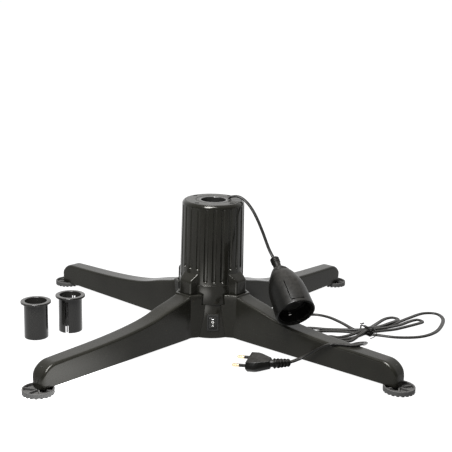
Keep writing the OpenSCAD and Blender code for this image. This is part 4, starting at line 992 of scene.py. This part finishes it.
drumShell = makeDrum(drumLook)
bosses = shaped("bosses", [shape for turn in diagonals for shape in makeBoss(bossLook, turn)], 30)
drum = finished(joined("drumHousing", [drumShell, bosses, shaped("posts", drumPosts(postLook))], 40),
                finish["housing"], "stand", "drum_housing")
print("drum made:", len(drum.data.polygons), "faces")


# cover, collar, sleeve and screws in the drum's top

topLook = {"top": 177.5, "cover": 36.25, "gap": 22.95, "collar": 22.35, "sleeve": 18.3, "bore": 16.1, "inner": 24.6,
           "screwRing": 31.5, "well": 2.95, "leadThick": 3.2, "leadWidth": 7.2, "grommet": (1.6, 3.6),
           "leadHole": (1.42, 2.8), "spindle": 4, "spindleLow": 36.5, "cupLow": 45.8, "boreLow": 50.5,
           "cross": (1.75, 0.33, 0.75), "screwSink": 0.4,
           "screwHead": [(0, -4.5), (1.15, -4.5), (1.15, -1.3), (2.7, -1.3, 0.15), (2.7, -0.45, 0.35), (0, 0.0)]}


def makeCover(look, top):
    inner, wide, gap = look["inner"], look["cover"], look["gap"]
    cover = shaped("topCover", [lathe(softened(
        [(inner, top - 3), (wide, top - 3), (wide, top, 0.45), (gap, top, 0.4), (gap, top - 1.4), (inner, top - 1.4)],
        4), 144)])
    well = rod(top - 1.7, top + 2, look["well"], 0.0, 36)
    carved(cover, [placed(well, turned(a) @ shifted(look["screwRing"])) for a in diagonals], 28)
    finished(cover, finish["cover"], "stand", "top_cover")


def makeCollar(look, top, middle):
    low, wide, inner = top - 15, look["collar"], look["sleeve"]
    collar = shaped("sleeveCollar", [lathe(softened(
        [(inner, low), (wide, low, 0.4), (wide, top, 0.5), (inner + 0.02, top, 0.12)], 4), 144)])
    thick, width = look["leadThick"] / 2, look["leadWidth"] / 2
    carved(collar, [box((middle - thick, -width, top - 16), (middle + thick, width, top + 1))], 28)
    finished(collar, finish["cover"], "turning sleeve", "sleeve_collar")


def makeGrommet(look, top, middle):
    (a, b), (holeA, holeB) = look["grommet"], look["leadHole"]
    levels = ((top - 2, a, b), (top + 0.35, a, b), (top + 0.8, a - 0.35, b - 0.35), (top + 0.8, holeA, holeB),
              (top - 1.9, holeA, holeB))
    rows = [[(middle + x, y, z) for x, y in rectangle(half, long, 0.8, 3)] for z, half, long in levels]
    makePiece("leadGrommet", [loft(rows, loop=True)], finish["rubber"], "turning sleeve",
              "lead_grommet")


def makeSleeve(look, top):
    wide, bore, spindle, cupLow = look["sleeve"], look["bore"], look["spindle"], look["cupLow"]
    sleeve = lathe(softened([(0, look["spindleLow"]), (spindle, look["spindleLow"], 0.4), (spindle, cupLow),
                             (wide, cupLow, 0.4), (wide, top, 0.12), (bore, top, 0.9), (bore, look["boreLow"], 0.5),
                             (0, look["boreLow"])], 4), 144)
    makePiece("treeSleeve", [sleeve], finish["sleeve"], "turning sleeve", "tree_sleeve")


def makeCoverScrews(look, top):
    head = shaped("head", [lathe(softened(look["screwHead"], 3), 40)])
    long, narrow, deep = look["cross"]
    carved(head, [box((-long, -narrow, -deep), (long, narrow, 1)), box((-narrow, -long, -deep), (narrow, long, 1))])
    grown(head, aroundTree, {"Count": len(diagonals), "Ring Radius": look["screwRing"] * mm,
                             "Height": (top - look["screwSink"]) * mm, "First Angle": math.radians(diagonals[0])})
    head.name = head.data.name = "coverScrews"
    finished(head, finish["blackScrew"], "stand", "cover_screws")


def makeTop(look):
    top, middle = look["top"], (look["sleeve"] + look["collar"]) / 2
    makeCover(look, top)
    makeCollar(look, top, middle)
    makeGrommet(look, top, middle)
    makeSleeve(look, top)
    makeCoverScrews(look, top)


makeTop(topLook)
print("top made")


# base with the switch

baseLook = {"foot": 41.0, "up": 40.4, "neck": 39.1, "low": 2.8, "inside": 36, "skirt": 48.1, "neckTop": 56,
            "wall": 2.6, "padHalf": 8.7, "padHigh": 12.2, "padFace": 40.75, "switchZ": 24.3, "window": (6.6, 9.9),
            "outlet": 4.25, "outletZ": 12, "post": 4.4, "postRing": 34.4, "postLow": 5.5}


def makeBase(look):
    wall, up, neck, face = look["wall"], look["up"], look["neck"], look["padFace"]
    outline = softened([(up - wall, look["low"]), (look["foot"], look["low"], 0.9), (up, look["skirt"], 0.4),
                        (neck, look["skirt"]), (neck, look["neckTop"], 0.4), (neck - wall, look["neckTop"], 0.4),
                        (neck - wall, look["inside"]), (up - wall, look["inside"])], 4)
    shell = shaped("shell", [lathe(outline, 160)])
    rows = []
    for y, shrink in ((-33, 0.0), (-face + 0.5, 0.0), (-face + 0.12, 0.15), (-face, 0.5)):
        rows.append([(x, y, look["switchZ"] + z) for x, z in
                     rectangle(look["padHalf"] - shrink, look["padHigh"] - shrink, 1.6)])
    pad = shaped("pad", [loft(rows)])
    a, b = look["window"]
    window = box((-a, -46, look["switchZ"] - b), (a, -27, look["switchZ"] + b))
    outlet = placed(rod(30, 50, look["outlet"], 0.0, 36), shifted(z=look["outletZ"]) @ lying)
    carved(shell, [window, outlet])
    carved(pad, [window])
    post = rod(look["postLow"], look["inside"], look["post"], 0.2)
    posts = shaped("posts", [placed(post, turned(turn) @ shifted(look["postRing"])) for turn in diagonals])
    finished(joined("baseHub", [shell, pad, posts]), finish["housing"], "stand", "base_hub")


makeBase(baseLook)

switchLook = {"z": 24.3, "face": 42.1, "width": 15, "height": 21.6, "flange": 40.7, "back": 27.8, "openWidth": 10.4,
              "openHeight": 15.8, "openBack": 32.8, "rockerWidth": 10.1, "rockerHeight": 15.4, "sink": 0.2,
              "dish": 0.9, "rockerBack": 36.7, "pin": (1.0, 39.1),
              "strokes": ((5.0, 0.6), (-2.6, 0.13), (-4.0, 0.13)), "strokeHalf": 1.35,
              "circle": 1.45, "circleZ": 1.0, "circleWire": 0.16}


def makeFrame(look, face):
    w, h, openW, openH = look["width"], look["height"], look["openWidth"], look["openHeight"]
    levels = ((-look["back"], w - 2, h - 2, 1.0), (-look["flange"], w - 2, h - 2, 1.0), (-look["flange"], w, h, 1.5),
              (face + 0.55, w, h, 1.5), (face + 0.15, w - 0.3, h - 0.3, 1.4), (face, w - 0.9, h - 0.9, 1.2),
              (face, openW + 0.7, openH + 0.7, 1.1), (face + 0.12, openW + 0.2, openH + 0.2, 1.0),
              (face + 0.6, openW, openH, 0.9), (-look["openBack"], openW, openH, 0.9))
    rows = [[(x, y, look["z"] + z) for x, z in rectangle(width / 2, height / 2, corner)]
            for y, width, height, corner in levels]
    makePiece("switchFrame", [loft(rows)], finish["switch"], "stand", "switch_frame")


def makeSwitch(look):
    face, z0 = -look["face"], look["z"]
    makeFrame(look, face)

    b, half, lift = look["rockerHeight"] / 2, look["rockerWidth"] / 2, face - look["sink"]
    end = b - 0.6

    def onFace(z):
        return lift - look["dish"] * (z / end) ** 2

    outline = [(face + 2.4, -b, 0.4), (onFace(end), -end, 0.5)]
    outline += [(onFace(z), z) for z in (mix(-end, end, k / 8) for k in range(1, 8))]
    outline += [(onFace(end), end, 0.5), (face + 2.4, b, 0.4), (-look["rockerBack"], 3, 0.5),
                (-look["rockerBack"], -3, 0.5)]
    side = softened(outline, 3)
    edges = ((-half, 0.35), (-half + 0.12, 0.12), (-half + 0.4, 0))
    rows = []
    for x, shrink in (*edges, *((-x, shrink) for x, shrink in reversed(edges))):
        rows.append([(x, y + (shrink if y < face + 1 else 0), z0 + z * (1 - shrink / b)) for y, z in side])
    radius, depth = look["pin"]
    pin = placed(rod(-half - 0.9, half + 0.9, radius, 0.1), shifted(0, -depth, z0) @ lying)
    makePiece("switchRocker", [loft(rows), pin], finish["switch"], "rocker", "switch_rocker", 30)

    marks, long = [], look["strokeHalf"]
    for z, thick in look["strokes"]:
        lean = math.degrees(math.atan(2 * look["dish"] * z / end ** 2))
        marks.append(placed(box((-long, -0.05, -thick), (long, 0.35, thick)),
                            shifted(0, onFace(z) - 0.02, z0 + z) @ turned(lean, "X")))
    r, middle = look["circle"], look["circleZ"]
    turns = [math.pi * k / 16 for k in range(33)]
    circle = [(r * math.cos(a), onFace(middle) - 0.03, z0 + middle + r * math.sin(a)) for a in turns]
    marks.append(tube(circle, look["circleWire"], 8))
    makePiece("rockerMarks", marks, finish["mark"], "rocker")


makeSwitch(switchLook)
print("base and switch made")


# legs and feet

legLook = {"reach": 290, "tipHeight": 34.4, "headHeight": 60, "sweep": 3.5, "slope": 0.02, "shoulder": 1.9,
           "shoulderAt": 32, "shoulderWide": 22, "halfHead": 13, "halfTip": 11, "halfLow": 9.8, "lowFrom": 50,
           "lowHead": 3.0, "lowTip": 6.6, "wall": 2.4, "fillet": 3.2, "nose": 21, "corner": 5, "rim": 62,
           "headOut": 55.4, "headHalf": (9.5, 13), "headEdge": (48, 54), "splay": 0.563, "hub": 41.3,
           "wingStart": 36, "wingPlane": 40.2, "pocketEnd": 52.0, "pocketWide": 13.72, "pocketNarrow": 9.84,
           "split": 48.1, "first": 53, "hollow": 61.5, "rib": 3, "footAt": 278, "footPost": (6.4, 30, 5)}


# height of the leg's upper edge at the distance s from the axis
def legLine(look, s):
    start, head = look["reach"] - look["nose"], look["headOut"]
    fall = min((start - min(s, start)) / (start - head), 1.02)
    rise = look["headHeight"] - look["tipHeight"] - look["slope"] * (start - head)
    shoulder = look["shoulder"] * math.exp(-((s - head - look["shoulderAt"]) / look["shoulderWide"]) ** 2)
    return look["tipHeight"] + look["slope"] * (start - s) + rise * fall ** look["sweep"] + shoulder


# section of the leg at s, or of its hollow when cut is the wall's thickness
def legRow(look, s, cut):
    start, reach = look["reach"] - look["nose"], look["reach"]
    r = look["nose"] - cut
    if s <= start:
        top = legLine(look, s) - cut
    else:
        top = look["tipHeight"] - look["nose"] + math.sqrt(max(r * r - (s - start) ** 2, 0))
    low = mix(look["lowHead"], look["lowTip"], (s - look["lowFrom"]) / (reach - look["lowFrom"]))
    full = legLine(look, min(s, start))
    wide = mix(look["halfHead"], look["halfTip"], (s - look["headOut"]) / (reach - look["headOut"]))
    halfTop = mix(look["halfLow"], wide, (top - low) / (full - low))
    corner = look["corner"] - cut / 2
    over = s - (reach - cut - corner)
    rounding = corner - math.sqrt(max(corner ** 2 - over ** 2, 0)) if over > 0 else 0
    # within the head the leg stays just inside the head's own sides
    inset = cut + rounding + (0.15 if s < look["headOut"] - 0.2 else 0)
    fillet = look["fillet"] + 0.9 * max(0, (s - start + 20) / 40) - cut / 2
    return beamRow(s, low, top, look["halfLow"], halfTop, fillet, inset, 0.35 if cut == 0 else 0.0)


# outline of a leg's head seen from above; with the pocket it is the rim round the boss
def headPlan(look, z, inset, pocket):
    share = (z - look["lowHead"]) / (look["rim"] - look["lowHead"])
    half, edge = mix(*look["headHalf"], share) - inset, mix(*look["headEdge"], share) - inset * 0.3
    out, s, hub = look["headOut"] - inset, look["wingPlane"] + inset, look["hub"]
    if not pocket:
        s = edge
        while s > look["wingStart"] and s ** 2 + (half + look["splay"] * (edge - s)) ** 2 > hub ** 2:
            s -= 0.05
    t = half + look["splay"] * (edge - s)
    corners = [(s, -t, inset), (edge, -half, 3.5), (out, -half, 2.4), (out, half, 2.4), (edge, half, 3.5),
               (s, t, inset)]
    outline = softened(corners, 5, False)
    if pocket:
        wide, narrow, end = (look[key] + inset for key in ("pocketWide", "pocketNarrow", "pocketEnd"))
        outline += softened([(s, wide), (end, narrow, 0.8), (end, -narrow, 0.8), (s, -wide)], 3, False)
    else:
        near = min(t, math.sqrt(hub ** 2 - s ** 2))
        stop = math.atan2(near, s)
        outline += [(hub * math.cos(a), hub * math.sin(a)) for a in (mix(stop, -stop, k / 12) for k in range(13))]
    return [(x, y, z) for x, y in outline]


# hollow beam, open below
def hollowBeam(outer, inner):
    m, n = len(outer[0]), len(outer)
    points = [p for rows in (outer, inner) for row in rows for p in row]
    faces = []
    for i in range(n - 1):
        for j in range(m - 1):
            a, b, c, d = i * m + j, i * m + j + 1, (i + 1) * m + j + 1, (i + 1) * m + j
            faces += [(a, b, c, d), tuple(n * m + q for q in (d, c, b, a))]
        for j in (0, m - 1):
            a, b = i * m + j, (i + 1) * m + j
            faces.append((a, b, n * m + b, n * m + a))
    for row in (0, n - 1):
        faces.append(tuple(row * m + j for j in range(m)))
        faces.append(tuple((n + row) * m + j for j in range(m)))
        faces.append((row * m, row * m + m - 1, (n + row) * m + m - 1, (n + row) * m))
    return points, faces


def legShapes(look):
    start, reach, wall, hollow = look["reach"] - look["nose"], look["reach"], look["wall"], look["hollow"]
    stations = [mix(look["first"], start, (k / 54) ** 1.15) for k in range(55)]
    stations += [start + look["nose"] * math.sin(math.radians(a)) for a in range(5, 85, 5)] + [reach - 0.04, reach]
    beam = hollowBeam([legRow(look, s, 0) for s in stations],
                      [legRow(look, min(max(s, hollow), reach - wall - 0.3), wall) for s in stations])
    pitch = (reach - wall + 2.7 - hollow) / 4
    plates = []
    for k in (1, 2, 3):
        s = hollow + pitch * k - look["rib"]
        plates.append(loft([legRow(look, q, wall - 0.3) for q in (s, s + look["rib"])]))
    low, high, radius = look["footPost"]
    post = placed(rod(low, high, radius, 0.2, 36), shifted(look["footAt"]))
    split, rim = look["split"], look["rim"]
    lower = loft([headPlan(look, z, e, False) for z, e in (
        (3.0, 0.5), (3.5, 0.0), (20, 0.0), (35, 0.0), (split, 0.0))])
    upper = loft([headPlan(look, z, e, True) for z, e in (
        (split, 0.0), (55, 0.0), (rim - 1.1, 0.0), (rim - 0.55, 0.12), (rim - 0.2, 0.38), (rim, 0.8))])
    return [beam, lower, upper, post] + plates


footLook = {"radius": 18.5, "rim": 6.3, "wall": 2.3, "low": 0.9, "floor": 2.7, "teeth": 20, "reach": 288,
            "toothTurn": 10.4, "barHalf": 0.9, "barLow": 2.0, "barTop": 5.3, "seatAt": -10, "seatIn": 3.5,
            "seatOut": 5, "seatTop": 6.5}


def footObject(look):
    r, wall, low, rim = look["radius"], look["wall"], look["low"], look["rim"]
    step = low + 0.25
    cup = lathe(softened([(0, low), (r - wall - 0.2, low), (r - wall - 0.2, step), (r, step), (r, rim, 0.8),
                          (r - wall, rim, 0.7), (r - wall, look["floor"], 0.6), (0, look["floor"])], 4), 120)
    spot, seatIn, seatOut = shifted(look["seatAt"]), look["seatIn"], look["seatOut"]
    body = carved(shaped("cup", [cup]), [placed(rod(0.2, 3, seatIn, 0.0, 36), spot)])

    def bar(start, end):
        half = look["barHalf"]
        return box((start, -half, look["barLow"]), (end, half, look["barTop"]), 0.35)

    # three bars, the last with a gap for the ring round the screw
    long = r - 1.5
    bars = [placed(bar(-long, long), turned(a)) for a in (60, 120)] + [bar(-long, -13.6), bar(-6.4, long)]
    seat = placed(lathe(softened([(seatIn, low), (seatOut, low), (seatOut, look["seatTop"], 0.3),
                                  (seatIn, look["seatTop"], 0.3)]), 36), spot)
    inside = shaped("bars", bars + [seat])
    half = math.radians(look["toothTurn"] / 2)
    rows = []
    for z, e in ((1.3, 0.0), (0.35, 0.0), (0.1, 0.12), (0.0, 0.35)):
        fan = [mix(-half, half, k / 4) * (1 - e / 2) for k in range(5)]
        wide, narrow = r - e, r - wall - 0.1 + e
        rows.append([(wide * math.cos(a) - r, wide * math.sin(a), z) for a in fan]
                    + [(narrow * math.cos(a) - r, narrow * math.sin(a), z) for a in reversed(fan)])
    teeth = around("teeth", [loft(rows)], look["teeth"], r, 0, 9)
    foot = joined("foot", [body, inside, teeth])
    foot.data.transform(shifted(look["reach"] * mm))
    return foot


legMesh = meshOf("leg", legShapes(legLook), 32)
footModel = footObject(footLook)
for place, turn in (("front_right", -45), ("rear_right", 45), ("rear_left", 135), ("front_left", -135)):
    label = "".join(word.capitalize() for word in place.split("_"))
    leg = objectOf("leg" + label, legMesh.copy())
    leg.data.transform(turned(turn))
    finished(leg, finish["leg"], "stand", "leg_" + place)
    foot = objectOf("foot" + label, footModel.data.copy())
    foot.data.transform(turned(turn))
    finished(foot, finish["rubber"], "stand", "foot_" + place)
bpy.data.objects.remove(footModel)
print("legs and feet made")


# loose adapters

adapterLook = {"radius": 15.2, "hole": 13.9, "flange": 19.3, "flangeThick": 2.6, "height": 48.4, "slit": 4.4,
               "slitEnd": 6, "ribs": 6}


def makeAdapter(look, name, node, place, slit):
    top, hole, radius, wide = look["height"], look["hole"], look["radius"], look["flange"]
    under = top - look["flangeThick"]
    body = shaped("tube", [lathe(softened(
        [(hole, 0, 0.25), (radius, 0, 0.5), (radius, under, 0.7), (wide, under, 0.6), (wide, top, 0.9),
         (hole, top, 0.7)], 4), 112)])
    fins = around("fins", [box((-0.9, -0.6, 1), (0.5, 0.6, top - 4), 0.25)], look["ribs"], hole, 0, 30)
    if slit:
        half = look["slit"] / 2
        carved(body, [box((-half, -30, -1), (half, 30, top - look["slitEnd"]))], 30)
    whole = joined(name, [body, fins])
    whole.data.transform(Matrix.Scale(mm, 4) @ place @ Matrix.Scale(1 / mm, 4))
    finished(whole, finish["adapter"], "stand", node)


makeAdapter(adapterLook, "adapterPlain", "adapter_plain", shifted(-225.9, -24.1), False)
makeAdapter(adapterLook, "adapterSplit", "adapter_split", shifted(-184.3, 1.4) @ turned(-14), True)
print("adapters made")


# finishes of the nodes that are shown as they are

nodeFinishes = {
    "base_plate": "housing", "base_screws": "steel", "foot_screws": "steel", "motor_deck": "motorSteel",
    "motor_can": "motorSteel", "motor_screws": "steel", "motor_shaft": "steel", "drive_pinion": "gear",
    "lower_bush": "bush", "thrust_washer": "gear", "upper_bush": "gear", "sleeve_gear": "gear",
    "slip_ring_carrier": "gear", "slip_rings": "brass", "brush_holder": "holder", "contact_brushes": "carbon",
    "brush_springs": "steel", "switch_terminals": "brass"}
for nodeName, finishName in nodeFinishes.items():
    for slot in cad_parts[nodeName].material_slots:
        slot.material = finish[finishName]
print("node finishes set")


# room

# the floor glows under and behind the stand and less in front, apart from a small pool that the plastic mirrors;
# the sky is brightest beyond the stand
roomLook = {"floor": 300.0, "floorTone": 0.05, "floorRough": 0.9, "glow": (0.3, 1.0), "glowFrom": (-0.7, -0.34),
            "pool": (-0.13, -0.25, 0.0), "poolSize": 0.15, "poolGlow": 8.0, "sky": (0.12, 1.2),
            "skyFrom": (-0.55, 0.65), "top": 0.3, "topFrom": (0.45, 0.85)}


# runs smoothly from the first result to the second while the value goes through the span
def ramp(tree, value, span, results):
    return addNode(tree, "ShaderNodeMapRange", {"interpolation_type": "SMOOTHSTEP"}, n0=value, n1=span[0],
                   n2=span[1], n3=results[0], n4=results[1]).outputs[0]


def makeFloor(look):
    mesh = bpy.data.meshes.new("floor")
    s = look["floor"]
    mesh.from_pydata([(-s, -s, 0), (s, -s, 0), (s, s, 0), (-s, s, 0)], [], [(0, 1, 2, 3)])
    material = bpy.data.materials.new("paleFloor")
    material.use_nodes = True
    tree = material.node_tree
    shader = tree.nodes["Principled BSDF"].inputs
    shader["Base Color"].default_value = colour([look["floorTone"]] * 3)
    shader["Roughness"].default_value = look["floorRough"]
    shader["Specular IOR Level"].default_value = 0.0
    shader["Emission Color"].default_value = colour(white)
    spot = addNode(tree, "ShaderNodeTexCoord").outputs["Object"]
    depth = addNode(tree, "ShaderNodeSeparateXYZ", Vector=spot).outputs[1]
    # painted light: the floor's glow is dimmer in front, and a small pool in front of the stand glows brightly, for
    # the plastic to mirror as it would a lamp
    glow = ramp(tree, depth, look["glowFrom"], look["glow"])
    away = addNode(tree, "ShaderNodeVectorMath", {"operation": "DISTANCE"}, n0=spot, n1=look["pool"]).outputs["Value"]
    pool = ramp(tree, away, (0.0, look["poolSize"]), (look["poolGlow"], 0.0))
    tree.links.new(sumOf(tree, "ADD", glow, pool), shader["Emission Strength"])
    mesh.materials.append(material)
    objectOf("floor", mesh)


def makeSky(look):
    world = bpy.data.worlds.new("studio")
    scene.world = world
    world.use_nodes = True
    tree = world.node_tree
    sky = tree.nodes["Background"]
    way = addNode(tree, "ShaderNodeTexCoord").outputs["Generated"]
    split = addNode(tree, "ShaderNodeSeparateXYZ", Vector=way).outputs
    level = ramp(tree, split[1], look["skyFrom"], look["sky"])
    high = ramp(tree, split[2], look["topFrom"], (0.0, 1.0))
    blend = addNode(tree, "ShaderNodeMix", {"data_type": "FLOAT"}, n0=high, n2=level, n3=look["top"]).outputs[0]
    sky.inputs[0].default_value = colour(white)
    tree.links.new(blend, sky.inputs[1])


overLook = {"place": (-0.36, -0.66, 1.35), "aim": (0, 0, 0.15), "size": (0.5, 1.1), "power": 105}
sideLook = {"place": (0.08, -0.62, 1.5), "aim": (0, 0, 0.1), "size": (0.2, 0.4), "power": 5}


def makeLight(name, look):
    data = bpy.data.lights.new(name, "AREA")
    data.shape, data.energy = "RECTANGLE", look["power"]
    data.size, data.size_y = look["size"]
    light = bpy.data.objects.new(name, data)
    light.location = look["place"]
    light.rotation_mode = "QUATERNION"
    light.rotation_quaternion = (Vector(look["aim"]) - Vector(look["place"])).to_track_quat("-Z", "Y")
    scene.collection.objects.link(light)


makeFloor(roomLook)
makeSky(roomLook)
makeLight("softboxOver", overLook)
makeLight("softboxSide", sideLook)
print("room lit")
